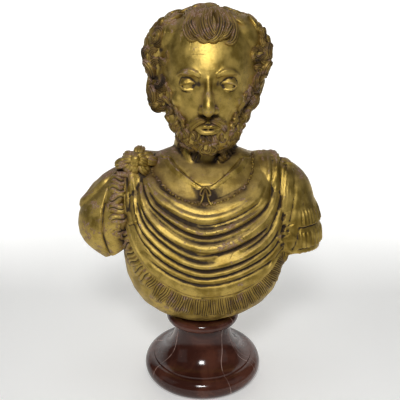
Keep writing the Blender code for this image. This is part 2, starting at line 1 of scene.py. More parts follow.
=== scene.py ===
"""The looks of a gilt bust of a bearded man in a Roman cloak, on a turned socle of red marble.

The bust is one carved block, shown as three pieces: the head with its neck, the draped chest, and the hair
with the beard. The head and the chest are closed skins that meet under the collar, modelled from rounded
masses that are fused and then carved. The hair is made of closed bands of strands laid on the head; the
fringe, the leaves and the clasp are closed solids laid on the chest. Units are metres. The bust's own frame
has its origin at the middle of its flat underside, and the figure faces -Y.
"""
import logging
import math
import random
from dataclasses import dataclass, field
from enum import Enum
from typing import Any, Sequence

import bmesh
import bpy
import numpy as np
from mathutils import Matrix, Vector
from mathutils.bvhtree import BVHTree


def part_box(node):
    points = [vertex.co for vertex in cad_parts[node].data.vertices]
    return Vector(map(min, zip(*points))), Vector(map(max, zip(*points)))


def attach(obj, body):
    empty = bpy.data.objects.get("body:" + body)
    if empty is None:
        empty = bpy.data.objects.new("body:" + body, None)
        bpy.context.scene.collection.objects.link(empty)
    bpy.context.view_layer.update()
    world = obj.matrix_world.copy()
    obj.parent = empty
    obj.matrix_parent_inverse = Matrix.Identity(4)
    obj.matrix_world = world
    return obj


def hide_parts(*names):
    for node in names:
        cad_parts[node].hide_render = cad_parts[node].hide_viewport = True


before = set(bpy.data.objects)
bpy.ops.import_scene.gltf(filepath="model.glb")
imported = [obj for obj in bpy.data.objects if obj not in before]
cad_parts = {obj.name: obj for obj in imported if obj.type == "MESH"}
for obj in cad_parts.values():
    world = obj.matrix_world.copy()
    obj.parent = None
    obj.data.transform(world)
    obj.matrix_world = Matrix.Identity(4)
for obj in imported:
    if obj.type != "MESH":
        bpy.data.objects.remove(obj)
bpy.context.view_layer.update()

LOG = logging.getLogger("bust")
Point = tuple[float, float, float]
Colour = tuple[float, float, float, float]
ROUND_SIDES = 40
STRAND_POINTS = 4
STRAND_SCATTER = 12.9898
PLACE_SCATTER = 900
TINY = 1e-12


# Shader expressions

class Sock:
    """A shader value that takes part in Python arithmetic and adds Math nodes as it goes."""

    def __init__(self, desk: "Desk", link: Any) -> None:
        """Keep the desk whose nodes this belongs to, and the socket or number."""
        self.desk = desk
        self.link = link

    def math(self, operation: str, *others: Any, clamp: bool = False) -> "Sock":
        """One Math node on this value.

        Args:
            operation: the Math node's operation.
            others: further numbers or values.
            clamp: whether the result is held between 0 and 1.

        Returns:
            The node's value.
        """
        settings = {"operation": operation, "use_clamp": clamp}
        inputs = {i: v for i, v in enumerate((self, *others))}
        return self.desk.add("ShaderNodeMath", settings, inputs)

    def __add__(self, other: Any) -> "Sock":
        """Sum."""
        return self.math("ADD", other)

    __radd__ = __add__

    def __sub__(self, other: Any) -> "Sock":
        """Difference."""
        return self.math("SUBTRACT", other)

    def __rsub__(self, other: Any) -> "Sock":
        """Difference from a number."""
        return Sock(self.desk, other).math("SUBTRACT", self)

    def __mul__(self, other: Any) -> "Sock":
        """Product."""
        return self.math("MULTIPLY", other)

    __rmul__ = __mul__

    def __truediv__(self, other: Any) -> "Sock":
        """Quotient."""
        return self.math("DIVIDE", other)

    def __pow__(self, other: Any) -> "Sock":
        """Power."""
        return self.math("POWER", other)

    def __abs__(self) -> "Sock":
        """Size without sign."""
        return self.math("ABSOLUTE")

    def held(self) -> "Sock":
        """The value held between 0 and 1."""
        return self.math("ADD", 0.0, clamp=True)

    def ramp(self, low: float, high: float) -> "Sock":
        """A smooth rise from 0 at low to 1 at high, or a fall where low is the larger."""
        settings = {"interpolation_type": "SMOOTHSTEP"}
        if low > high:
            return 1.0 - self.ramp(high, low)
        inputs = {"Value": self, "From Min": low, "From Max": high}
        return self.desk.add("ShaderNodeMapRange", settings, inputs)


class Desk:
    """One material and the nodes on it."""

    def __init__(self, name: str) -> None:
        """Start a material with its Principled shader and object coordinates."""
        self.material = bpy.data.materials.new(name)
        self.material.use_nodes = True
        self.nodes = self.material.node_tree.nodes
        self.links = self.material.node_tree.links
        self.shader = self.nodes["Principled BSDF"]
        self.place = self.add("ShaderNodeTexCoord", {}, {}, "Object")

    def add(self, kind: str, settings: dict[str, Any], inputs: dict[Any, Any], output: Any = 0) -> Sock:
        """Add one node.

        Args:
            kind: the node's type.
            settings: its properties, set before its sockets.
            inputs: values or links of its sockets, by name or number.
            output: the socket that is returned, by name or number.

        Returns:
            The chosen output.
        """
        node = self.nodes.new(kind)
        for key, value in settings.items():
            setattr(node, key, value)
        for key, value in inputs.items():
            self.feed(node.inputs[key], value)
        return Sock(self, node.outputs[output])

    def feed(self, socket: bpy.types.NodeSocket, value: Any) -> None:
        """Link a socket to a value, or set it to a constant."""
        if isinstance(value, Sock):
            if isinstance(value.link, bpy.types.NodeSocket):
                self.links.new(value.link, socket)
                return
            value = value.link
        socket.default_value = value

    def noise(self, scale: float, detail: float = 4.0, rough: float = 0.55, warp: float = 0.0) -> Sock:
        """Noise of a given scale over the object, from about 0.2 to 0.8."""
        inputs = {"Vector": self.place, "Scale": scale, "Detail": detail, "Roughness": rough,
                  "Distortion": warp}
        return self.add("ShaderNodeTexNoise", {}, inputs, "Fac")

    def stored(self, name: str) -> Sock:
        """A value that the mesh holds for each point."""
        return self.add("ShaderNodeAttribute", {"attribute_name": name}, {}, "Fac")

    def blend(self, share: Any, under: Any, over: Any) -> Sock:
        """Mix two colours."""
        inputs = {0: share, 6: under, 7: over}
        return self.add("ShaderNodeMix", {"data_type": "RGBA"}, inputs, 2)

    def finish(self, inputs: dict[str, Any]) -> bpy.types.Material:
        """Feed the shader and return the material."""
        for key, value in inputs.items():
            self.feed(self.shader.inputs[key], value)
        return self.material


# Finishes

@dataclass(frozen=True)
class WornGilding:
    """Old gilding on carved wood: bright on the rounds, dark brown patina in the hollows with painted shade
    where the bust encloses itself, rubbed on top.
    """

    bright: Colour = (0.58, 0.415, 0.110, 1.0)
    deep: Colour = (0.27, 0.178, 0.034, 1.0)
    # Umber for mottled stain and for painted shade where the bust encloses itself.
    umber: Colour = (0.120, 0.062, 0.018, 1.0)
    # Near-black for patina specks, patina in the hollows, and painted shade in enclosed places.
    patina_and_painted_shade: Colour = (0.018, 0.0080, 0.0022, 1.0)
    bole: Colour = (0.20, 0.095, 0.058, 1.0)
    gesso: Colour = (0.55, 0.42, 0.34, 1.0)
    dust: Colour = (0.19, 0.130, 0.070, 1.0)
    shine: float = 0.96
    dullness: float = 0.45
    crack_scale: float = 26.0
    bump: float = 0.62
    bump_depth: float = 0.0012

    def make(self) -> bpy.types.Material:
        """Build the material."""
        desk = Desk("worn gilding")
        hollow = desk.stored("hollow")
        crest = desk.stored("crest")
        shade = desk.stored("shade")
        sky = desk.stored("sky")
        mottle = desk.noise(42, 5)
        cloud = desk.noise(10, 3)
        grit = desk.noise(380, 3, 0.7)
        patch = desk.noise(75, 4, 0.6)
        gold = desk.blend((mottle * 0.65 + cloud * 0.35).ramp(0.38, 0.60), self.deep, self.bright)
        # Umber share: painted shade from the ray-cast enclosure, mixed with mottled stain and the hollows.
        stain_and_painted_shade = shade * 2.1 + hollow * 0.45 + (mottle - 0.5) * 1.1 + (cloud - 0.5) * 0.6 - 0.30
        stain_and_painted_shade = stain_and_painted_shade.ramp(0.0, 0.75)
        # Near-black share: patina in the hollows plus painted shade from the ray-cast enclosure.
        deep_dark_and_painted_shade = (shade * 1.60 + hollow * 1.15 + (patch - 0.5) * 1.1 - 0.60).ramp(0.0, 0.75)
        dull = (sky * (0.35 + cloud.ramp(0.38, 0.58) * 0.65)).held()
        rub = crest * 0.55 + sky * 0.45 + (patch - 0.5) * 2.4 + (cloud - 0.5) * 1.6 - 0.72
        rub = rub.ramp(0.0, 0.30)
        chalk = (rub * grit.ramp(0.50, 0.62)).held()
        speck = (grit.ramp(0.55, 0.66) * (cloud.ramp(0.42, 0.60) * 0.55 + dull * 0.45)).held()
        colour = desk.blend(dull * 0.85, gold, self.dust)
        colour = desk.blend(stain_and_painted_shade * 0.80, colour, self.umber)
        colour = desk.blend(rub * 0.75, colour, self.bole)
        colour = desk.blend(chalk * 0.8, colour, self.gesso)
        colour = desk.blend(deep_dark_and_painted_shade * 0.95, colour, self.patina_and_painted_shade)
        colour = desk.blend(speck * 0.75, colour, self.patina_and_painted_shade)
        metal = (self.shine - deep_dark_and_painted_shade * 0.70 - rub * 0.65 - dull * 0.40 - stain_and_painted_shade * 0.15 - speck * 0.5).held()
        rough = self.dullness + mottle.ramp(0.4, 0.7) * 0.12 + stain_and_painted_shade * 0.10 + deep_dark_and_painted_shade * 0.22
        rough = (rough + rub * 0.2 + dull * 0.2).held()
        crack = desk.add("ShaderNodeTexVoronoi", {"feature": "DISTANCE_TO_EDGE"},
                         {"Vector": desk.place, "Scale": self.crack_scale, "Randomness": 1.0}, "Distance")
        split = crack.ramp(0.012, 0.002) * cloud.ramp(0.52, 0.60)
        height = grit * 0.30 + patch * 0.55 + mottle * 0.8 - split * 0.9
        inputs = {"Strength": self.bump, "Distance": self.bump_depth, "Height": height}
        bump = desk.add("ShaderNodeBump", {}, inputs)
        return desk.finish({"Base Color": colour, "Metallic": metal, "Roughness": rough, "Normal": bump})


@dataclass(frozen=True)
class RedMarble:
    """Polished dark red marble; a pale vein has its angles at the neck and the groove, and its width."""

    ground: Colour = (0.046, 0.0130, 0.0082, 1.0)
    warm: Colour = (0.105, 0.0340, 0.0200, 1.0)
    vein: Colour = (0.50, 0.33, 0.28, 1.0)
    veins: tuple[tuple[float, float, float], ...] = (
        (-156, -149, 0.0012), (-39, -61, 0.0011), (-19, -23, 0.0009), (-25, -15, 0.0008),
        (40, 62, 0.0010), (105, 92, 0.0009), (150, 160, 0.0008))
    vein_top: float = 0.125
    vein_drop: float = 0.085
    coat: float = 0.06
    coat_rough: float = 0.06
    gloss: float = 0.38

    def make(self) -> bpy.types.Material:
        """Build the material."""
        desk = Desk("red marble")
        cloud = desk.noise(16, 6, 0.6, 0.8)
        fleck = desk.noise(260, 2, 0.6)
        colour = desk.blend(cloud.ramp(0.40, 0.66), self.ground, self.warm)
        parts = {axis: desk.add("ShaderNodeSeparateXYZ", {}, {0: desk.place}, axis) for axis in "XYZ"}
        radius = (parts["X"] ** 2 + parts["Y"] ** 2) ** 0.5
        round_way = parts["Y"].math("ARCTAN2", parts["X"])
        wander = (desk.noise(11, 1.5, 0.4) - 0.5) * 0.55
        fall = ((self.vein_top - parts["Z"]) / self.vein_drop).held()
        mask = None
        for start, end, width in self.veins:
            middle = fall * math.radians(end - start) + math.radians(start)
            off = abs(round_way - middle + wander) * radius
            line = off.ramp(width, width * 0.30)
            mask = line if mask is None else mask.math("MAXIMUM", line)
        patchy = desk.noise(34, 2).ramp(0.40, 0.54)
        pale = (mask * (0.15 + patchy * 0.7) + fleck.ramp(0.74, 0.79) * 0.4).held()
        colour = desk.blend(pale, colour, self.vein)
        rough = (0.10 + cloud * 0.06 + pale * 0.12).held()
        return desk.finish({"Base Color": colour, "Roughness": rough, "Coat Weight": self.coat,
                            "Coat Roughness": self.coat_rough, "Specular IOR Level": self.gloss})


@dataclass(frozen=True)
class PaleFloor:
    """A plain pale floor, barely uneven in tone."""

    light: Colour = (0.86, 0.86, 0.85, 1.0)
    soft: Colour = (0.80, 0.80, 0.79, 1.0)
    rough: float = 0.7
    glow: float = 0.32

    def make(self) -> bpy.types.Material:
        """Build the material."""
        desk = Desk("pale floor")
        colour = desk.blend(desk.noise(2, 2), self.soft, self.light)
        return desk.finish({"Base Color": colour, "Roughness": self.rough, "Emission Color": colour,
                            "Emission Strength": self.glow})


# Modelling tools

def smooth_path(points: Sequence[Point], count: int) -> np.ndarray:
    """Evenly parametrised points of a Catmull-Rom curve through the given points."""
    p = np.asarray(points, dtype=float)
    p = np.vstack([2 * p[0] - p[1], p, 2 * p[-1] - p[-2]])
    at = np.linspace(0, len(p) - 3, count)
    k = np.minimum(at.astype(int), len(p) - 4)
    t = (at - k)[:, None]
    a, b, c, d = p[k], p[k + 1], p[k + 2], p[k + 3]
    bend = (2 * a - 5 * b + 4 * c - d) * t ** 2
    twist = (3 * b - 3 * c + d - a) * t ** 3
    return 0.5 * (2 * b + (c - a) * t + bend + twist)


def unit(rows: np.ndarray) -> np.ndarray:
    """The rows, each scaled to length one."""
    return rows / (np.linalg.norm(rows, axis=1)[:, None] + TINY)


def beside_path(path: np.ndarray, up: np.ndarray) -> tuple[np.ndarray, np.ndarray]:
    """The ways to the side of a path and off the surface below it, at each of its points."""
    ahead = np.gradient(path, axis=0)
    side = unit(np.cross(ahead, up))
    return side, unit(np.cross(side, ahead))


def rise(value: np.ndarray, low: float, high: float) -> np.ndarray:
    """A smooth rise from 0 at low to 1 at high."""
    t = np.clip((value - low) / (high - low), 0, 1)
    return t * t * (3 - 2 * t)


def read_rows(mesh: bpy.types.Mesh, kind: str) -> np.ndarray:
    """The "co" or the "normal" of every point of a mesh, one row each."""
    values = np.empty(len(mesh.vertices) * 3)
    mesh.vertices.foreach_get(kind, values)
    return values.reshape(-1, 3)


def as_mesh(shape: bmesh.types.BMesh, name: str) -> bpy.types.Mesh:
    """A mesh of the shape, which is used up."""
    mesh = bpy.data.meshes.new(name)
    shape.to_mesh(mesh)
    shape.free()
    return mesh


def put(name: str, data: Any) -> bpy.types.Object:
    """A new object in the scene."""
    item = bpy.data.objects.new(name, data)
    bpy.context.scene.collection.objects.link(item)
    return item


def take_result(holder: bpy.types.Object) -> bpy.types.Mesh:
    """The mesh that an object's modifiers make of it; the object is removed."""
    graph = bpy.context.evaluated_depsgraph_get()
    graph.update()
    made = bpy.data.meshes.new_from_object(holder.evaluated_get(graph))
    bpy.data.objects.remove(holder, do_unlink=True)
    return made


def thinned(mesh: bpy.types.Mesh, triangles: int) -> bpy.types.Mesh:
    """The mesh with at most so many triangles, fewest where it is flattest."""
    count = sum(len(p.vertices) - 2 for p in mesh.polygons)
    if count <= triangles:
        return mesh
    holder = put("thinned", mesh)
    holder.modifiers.new("fewer", "DECIMATE").ratio = triangles / count
    return take_result(holder)


@dataclass
class Clay:
    """Rounded masses that are piled up and then fused into one skin."""

    shape: bmesh.types.BMesh = field(default_factory=bmesh.new)

    def ball(self, centre: Sequence[float], radii: Sequence[float], turn: Point = (0, 0, 0),
             sides: int = ROUND_SIDES) -> None:
        """An ellipsoid, turned by angles in degrees about X, Y and Z."""
        ring = bmesh.ops.create_uvsphere(self.shape, u_segments=sides, v_segments=sides // 2, radius=1.0)
        spin = Matrix.Identity(4)
        for axis, degrees in zip("XYZ", turn):
            spin = Matrix.Rotation(math.radians(degrees), 4, axis) @ spin
        place = Matrix.Translation(centre) @ spin @ Matrix.Diagonal((*radii, 1.0))
        bmesh.ops.transform(self.shape, matrix=place, verts=ring["verts"])

    def skin_rings(self, rows: Sequence[Sequence[Point]]) -> None:
        """Close rings of points, one after another, into a solid."""
        rings = [[self.shape.verts.new(spot) for spot in row] for row in rows]
        sides = len(rings[0])
        for low, high in zip(rings, rings[1:]):
            for k in range(sides):
                self.shape.faces.new((low[k], low[(k + 1) % sides], high[(k + 1) % sides], high[k]))
        self.shape.faces.new(rings[0][::-1])
        self.shape.faces.new(rings[-1])

    def loft(self, sections: Sequence[Sequence[float]], power: float, sides: int = 128) -> None:
        """A closed loft through level superellipses of height, middle, half width, front and back."""
        rings = []
        for height, middle, half_width, front, back in sections:
            ring = []
            for k in range(sides):
                turn = 2 * math.pi * k / sides
                c, s = math.cos(turn), math.sin(turn)
                x = middle + half_width * math.copysign(abs(c) ** (2 / power), c)
                y = (back if s > 0 else -front) * math.copysign(abs(s) ** (2 / power), s)
                ring.append((x, y, height))
            rings.append(ring)
        self.skin_rings(rings)

    def tube(self, points: Sequence[Point], radii: Sequence[float], flat: float = 1.0, sides: int = 14,
             count: int = 24, lean: Point = (0, -1, 0.3)) -> None:
        """A closed tapering tube on a smooth path.

        Args:
            points: the path's points.
            radii: radii from the start to the end.
            flat: how far the tube is squeezed along its lean.
            sides: points round the tube.
            count: rings along it.
            lean: the way off the surface it lies on.
        """
        path = smooth_path(points, count)
        size = np.interp(np.linspace(0, 1, count), np.linspace(0, 1, len(radii)), radii)
        side, up = beside_path(path, np.asarray(lean, dtype=float))
        turn = 2 * math.pi * np.arange(sides) / sides
        across, off = np.cos(turn)[None, :, None], (flat * np.sin(turn))[None, :, None]
        ring = side[:, None, :] * across + up[:, None, :] * off
        self.skin_rings((path[:, None, :] + ring * size[:, None, None]).tolist())

    def band(self, points: Sequence[Point], ups: Sequence[Point], width: float, lift: float, strands: int,
             count: int, shape: Sequence[float], groove: float = 0.42, sunk: float = 0.0040) -> None:
        """A lock of parallel strands: rounded across, with a groove between one strand and the next.

        Args:
            points: its middle line.
            ups: the way off the surface at each point of the line.
            width: its full width.
            lift: how far its middle stands off the line.
            strands: how many strands it shows.
            count: rings along it.
            shape: its shares of the full width, from the root to the tip.
            groove: the share of its height that the grooves cut away.
            sunk: how far its edges reach below the line.
        """
        path = smooth_path(points, count)
        side, up = beside_path(path, smooth_path(ups, count))
        along = np.linspace(0, 1, count)
        breadth = width / 2 * np.interp(along, np.linspace(0, 1, len(shape)), shape)
        height = lift * np.interp(along, (0, 0.15, 0.75, 1), (0.35, 1.0, 0.9, 0.35))
        across = np.linspace(-1, 1, STRAND_POINTS * strands + 1)
        phase = (across + 1) / 2 * strands
        bump = np.abs(np.sin(np.pi * phase)) ** 0.7
        strand = np.floor(np.clip(phase, 0, strands - 0.01))
        uneven = 1 + 0.14 * np.sin(STRAND_SCATTER * strand + PLACE_SCATTER * path[0].sum())
        dome = np.sqrt(1 - (0.93 * across) ** 2)
        profile = dome * uneven * (1 - groove + groove * bump)
        spots = (path[:, None, :] + side[:, None, :] * (breadth[:, None] * across)[:, :, None]
                 + up[:, None, :] * (height[:, None] * profile)[:, :, None])
        low = path[:, None, :] + side[:, None, :] * (breadth[:, None] * np.array([0.8, -0.8]))[:, :, None]
        low = low - up[:, None, :] * sunk
        self.skin_rings(np.concatenate([spots, low], axis=1).tolist())

    def take(self, other: "Clay", place: Matrix) -> None:
        """Add another pile of masses, set in place."""
        bmesh.ops.transform(other.shape, matrix=place, verts=other.shape.verts)
        mesh = as_mesh(other.shape, "masses")
        self.shape.from_mesh(mesh)
        bpy.data.meshes.remove(mesh)

    def fuse(self, voxel: float, rounds: int) -> bpy.types.Mesh:
        """One closed skin around all the masses.

        Args:
            voxel: the size of the skin's faces.
            rounds: how often the skin is smoothed.

        Returns:
            The new mesh.
        """
        holder = put("fused", as_mesh(self.shape, "fused"))
        remesh = holder.modifiers.new("fuse", "REMESH")
        remesh.mode = "VOXEL"
        remesh.voxel_size = voxel
        soften = holder.modifiers.new("soften", "SMOOTH")
        soften.factor = 0.5
        soften.iterations = rounds
        return take_result(holder)


class Skin:
    """A skin whose points are raised or sunk along its normals."""

    UNDER_HEAD = 0.345

    def __init__(self, mesh: bpy.types.Mesh) -> None:
        """Read the mesh's points, normals and edges."""
        self.mesh = mesh
        self.at = read_rows(mesh, "co")
        self.normal = read_rows(mesh, "normal")
        self.relief = np.zeros(len(self.at))
        shape = bmesh.new()
        shape.from_mesh(mesh)
        self.tree = BVHTree.FromBMesh(shape)
        shape.free()

    def front(self, x: float, z: float) -> Point:
        """The skin's front point at this x and height."""
        return tuple(self.tree.ray_cast(Vector((x, -1.0, z)), Vector((0, 1, 0)))[0])

    def back(self, x: float, z: float) -> Point:
        """The skin's back point at this x and height."""
        return tuple(self.tree.ray_cast(Vector((x, 1.0, z)), Vector((0, -1, 0)))[0])

    def top(self, x: float, y: float) -> Point:
        """The skin's top point at this x and y, met from below the head."""
        return tuple(self.tree.ray_cast(Vector((x, y, self.UNDER_HEAD)), Vector((0, 0, -1)))[0])

    def fronts(self, *places: tuple[float, float]) -> list[Point]:
        """The skin's front points at these places."""
        return [self.front(x, z) for x, z in places]

    def backs(self, *places: tuple[float, float]) -> list[Point]:
        """The skin's back points at these places."""
        return [self.back(x, z) for x, z in places]

    def apply(self) -> bpy.types.Mesh:
        """Move the points by their relief."""
        moved = self.at + self.normal * self.relief[:, None]
        self.mesh.vertices.foreach_set("co", moved.ravel())
        self.mesh.update()
        return self.mesh


class Track:
    """A path on a skin, which gives nearby points their place along it and beside it."""

    CHUNK = 4000

    def __init__(self, skin: Skin, points: Sequence[Point], count: int = 160) -> None:
        """Lay a smooth path through the points and settle it on the skin."""
        path = smooth_path(points, count)
        near = [skin.tree.find_nearest(Vector(p)) for p in path]
        self.path = np.array([n[0] for n in near])
        self.up = np.array([n[1] for n in near])
        self.ahead = unit(np.gradient(self.path, axis=0))
        self.beside = np.cross(self.up, self.ahead)
        steps = np.linalg.norm(np.diff(self.path, axis=0), axis=1)
        self.along = np.concatenate([[0.0], np.cumsum(steps)])
        self.length = self.along[-1]

    def measure(self, at: np.ndarray, reach: float) -> tuple[np.ndarray, np.ndarray, np.ndarray]:
        """Find the points near the track.

        Args:
            at: all points.
            reach: how far from the track they may be.

        Returns:
            Their indices, distances along the track and distances beside it, + to its left.
        """
        low, high = self.path.min(axis=0) - reach, self.path.max(axis=0) + reach
        near = np.where(np.all((at > low) & (at < high), axis=1))[0]
        picked, along, beside = [], [], []
        for start in range(0, len(near), self.CHUNK):
            some = near[start:start + self.CHUNK]
            gap = at[some][:, None, :] - self.path[None, :, :]
            nearest = np.argmin(np.einsum("ijk,ijk->ij", gap, gap), axis=1)
            offset = gap[np.arange(len(some)), nearest]
            keep = np.linalg.norm(offset, axis=1) < reach
            picked.append(some[keep])
            along.append((self.along[nearest] + (offset * self.ahead[nearest]).sum(axis=1))[keep])
            beside.append((offset * self.beside[nearest]).sum(axis=1)[keep])
        return np.concatenate(picked), np.concatenate(along), np.concatenate(beside)

    def place(self, along: float) -> tuple[Vector, Vector, Vector]:
        """The track's point, its way ahead and its way to the left, at a length along it."""
        columns = np.hstack([self.path, self.ahead, self.beside]).T
        rows = [np.interp(along, self.along, column) for column in columns]
        return Vector(rows[0:3]), Vector(rows[3:6]).normalized(), Vector(rows[6:9]).normalized()


class Surface(Enum):
    """The skins of the bust."""

    HEAD = "head"
    HAIR = "hair_and_beard"
    CHEST = "draped_chest"


# The bust

@dataclass
class Masses:
    """The rounded masses of the bust, which both skins share."""

    foot: float = 0.0540
    chest_power: float = 2.3
    head_centre: Point = (0.008, -0.008, 0.4495)
    head_pitch: float = math.radians(6)
    skull: Point = (0.0780, 0.0970, 0.0990)
    hair: Point = (0.0985, 0.1080, 0.1105)
    jaw: Point = (0.0625, 0.0610, 0.0575)
    whorl: tuple[float, float] = (180, 62)
    rolls: tuple[tuple[Point, Point], ...] = (
        ((-0.0790, 0.006, 0.0370), (0.0290, 0.0390, 0.0480)),
        ((-0.0765, 0.004, -0.0240), (0.0285, 0.0370, 0.0370)),
        ((0.0790, 0.006, 0.0341), (0.0285, 0.0390, 0.0480)),
        ((0.0694, 0.004, -0.0272), (0.0204, 0.0340, 0.0330)))

    def sections(self) -> tuple[tuple[float, float, float, float, float], ...]:
        """Height, middle, half width, front and back of the chest's level sections."""
        foot = self.foot
        return ((0.000, 0.0000, foot, -foot, foot), (0.007, -0.0010, 0.0650, -0.064, 0.060),
                (0.020, 0.0000, 0.0985, -0.079, 0.067), (0.037, 0.0015, 0.1225, -0.089, 0.072),
                (0.060, 0.0030, 0.1390, -0.096, 0.077), (0.090, 0.0025, 0.1500, -0.101, 0.082),
                (0.125, 0.0025, 0.1540, -0.105, 0.086), (0.165, 0.0035, 0.1545, -0.107, 0.090),
                (0.205, 0.0035, 0.1540, -0.104, 0.094), (0.245, 0.0035, 0.1500, -0.091, 0.094),
                (0.275, 0.0035, 0.1380, -0.070, 0.088), (0.300, 0.0035, 0.1150, -0.049, 0.078),
                (0.317, 0.0035, 0.0850, -0.032, 0.066), (0.328, 0.0035, 0.0550, -0.018, 0.052))

    def head_place(self) -> Matrix:
        """From the head's own frame, with its origin in the skull, to the bust's."""
        return Matrix.Translation(self.head_centre) @ Matrix.Rotation(self.head_pitch, 4, "X")

    def torso(self, clay: Clay) -> None:
        """Chest, shoulders, arm stubs and the root of the neck."""
        clay.loft(self.sections(), self.chest_power)
        shoulders = (((-0.135, 0.004, 0.262), (0.0, 0.020, 0.262), (0.135, 0.004, 0.259)),
                     (0.056, 0.051, 0.057))
        near_arm = (((-0.105, 0.004, 0.270), (-0.144, 0.002, 0.238), (-0.170, -0.002, 0.203),
                     (-0.178, -0.006, 0.178), (-0.152, -0.008, 0.138)),
                    (0.038, 0.056, 0.062, 0.059, 0.043))
        far_arm = (((0.118, 0.004, 0.272), (0.146, 0.002, 0.244), (0.157, -0.002, 0.205),
                    (0.163, -0.004, 0.170), (0.165, -0.006, 0.139)),
                   (0.047, 0.056, 0.056, 0.058, 0.055))
        neck = (((0.003, 0.018, 0.250), (0.004, 0.018, 0.310), (0.006, 0.012, 0.350),
                 (0.007, 0.006, 0.400)), (0.068, 0.061, 0.055, 0.056))
        for points, radii in (shoulders, near_arm, far_arm, neck):
            clay.tube(points, radii, sides=ROUND_SIDES)
        for side in (-1, 1):
            clay.tube(((0.007 + side * 0.062, 0.018, 0.408), (0.006 + side * 0.044, -0.014, 0.350),
                       (0.004 + side * 0.017, -0.039, 0.290)), (0.012, 0.011, 0.010))

    def skull_and_face(self, clay: Clay) -> None:
        """The head's large masses: skull, hair cap, face, jaw, nose and brows."""
        head = Clay()
        cap = (self.hair[0] - 0.0050, 0.0900, self.hair[2] - 0.0035)
        for centre, radii in (((0, 0, 0.010), self.skull), ((0, 0.014, 0.010), cap),
                              ((0, -0.008, 0.028), (0.0830, 0.0840, 0.0850)),
                              ((0, 0.030, 0.008), (0.0920, 0.0770, 0.1035)),
                              ((0, -0.038, -0.084), (0.0550, 0.0540, 0.0370)),
                              ((0, -0.036, -0.020), (0.0620, 0.0580, 0.0860)),
                              ((0, -0.044, -0.074), (0.0500, 0.0480, 0.0440)),
                              ((0, -0.084, -0.096), (0.0190, 0.0150, 0.0170)),
                              ((0, -0.081, -0.062), (0.0280, 0.0155, 0.0190)), *self.rolls):
            head.ball(centre, radii)
        head.tube(((0, -0.088, 0.016), (0, -0.104, -0.008), (0, -0.114, -0.030), (0, -0.106, -0.042)),
                  (0.0065, 0.0070, 0.0105, 0.007))
        for side in (-1, 1):
            head.ball((side * 0.012, -0.101, -0.037), (0.0062, 0.0090, 0.0062))
            head.tube(((side * 0.008, -0.087, 0.012), (side * 0.028, -0.088, 0.020),
                       (side * 0.048, -0.070, 0.014)), (0.006, 0.0080, 0.005))
            head.ball((side * 0.044, -0.064, -0.026), (0.0160, 0.0140, 0.0150))
            head.ball((side * 0.0720, 0.040, 0.0130), (0.0300, 0.0480, 0.0700))
            head.ball((side * 0.0490, 0.010, 0.0645), (0.0425, 0.0650, 0.0405))
            head.tube(((side * 0.066, -0.004, -0.020), (side * 0.060, -0.026, -0.056),
                       (side * 0.038, -0.058, -0.084)), (0.010, 0.0135, 0.014))
        clay.take(head, self.head_place())


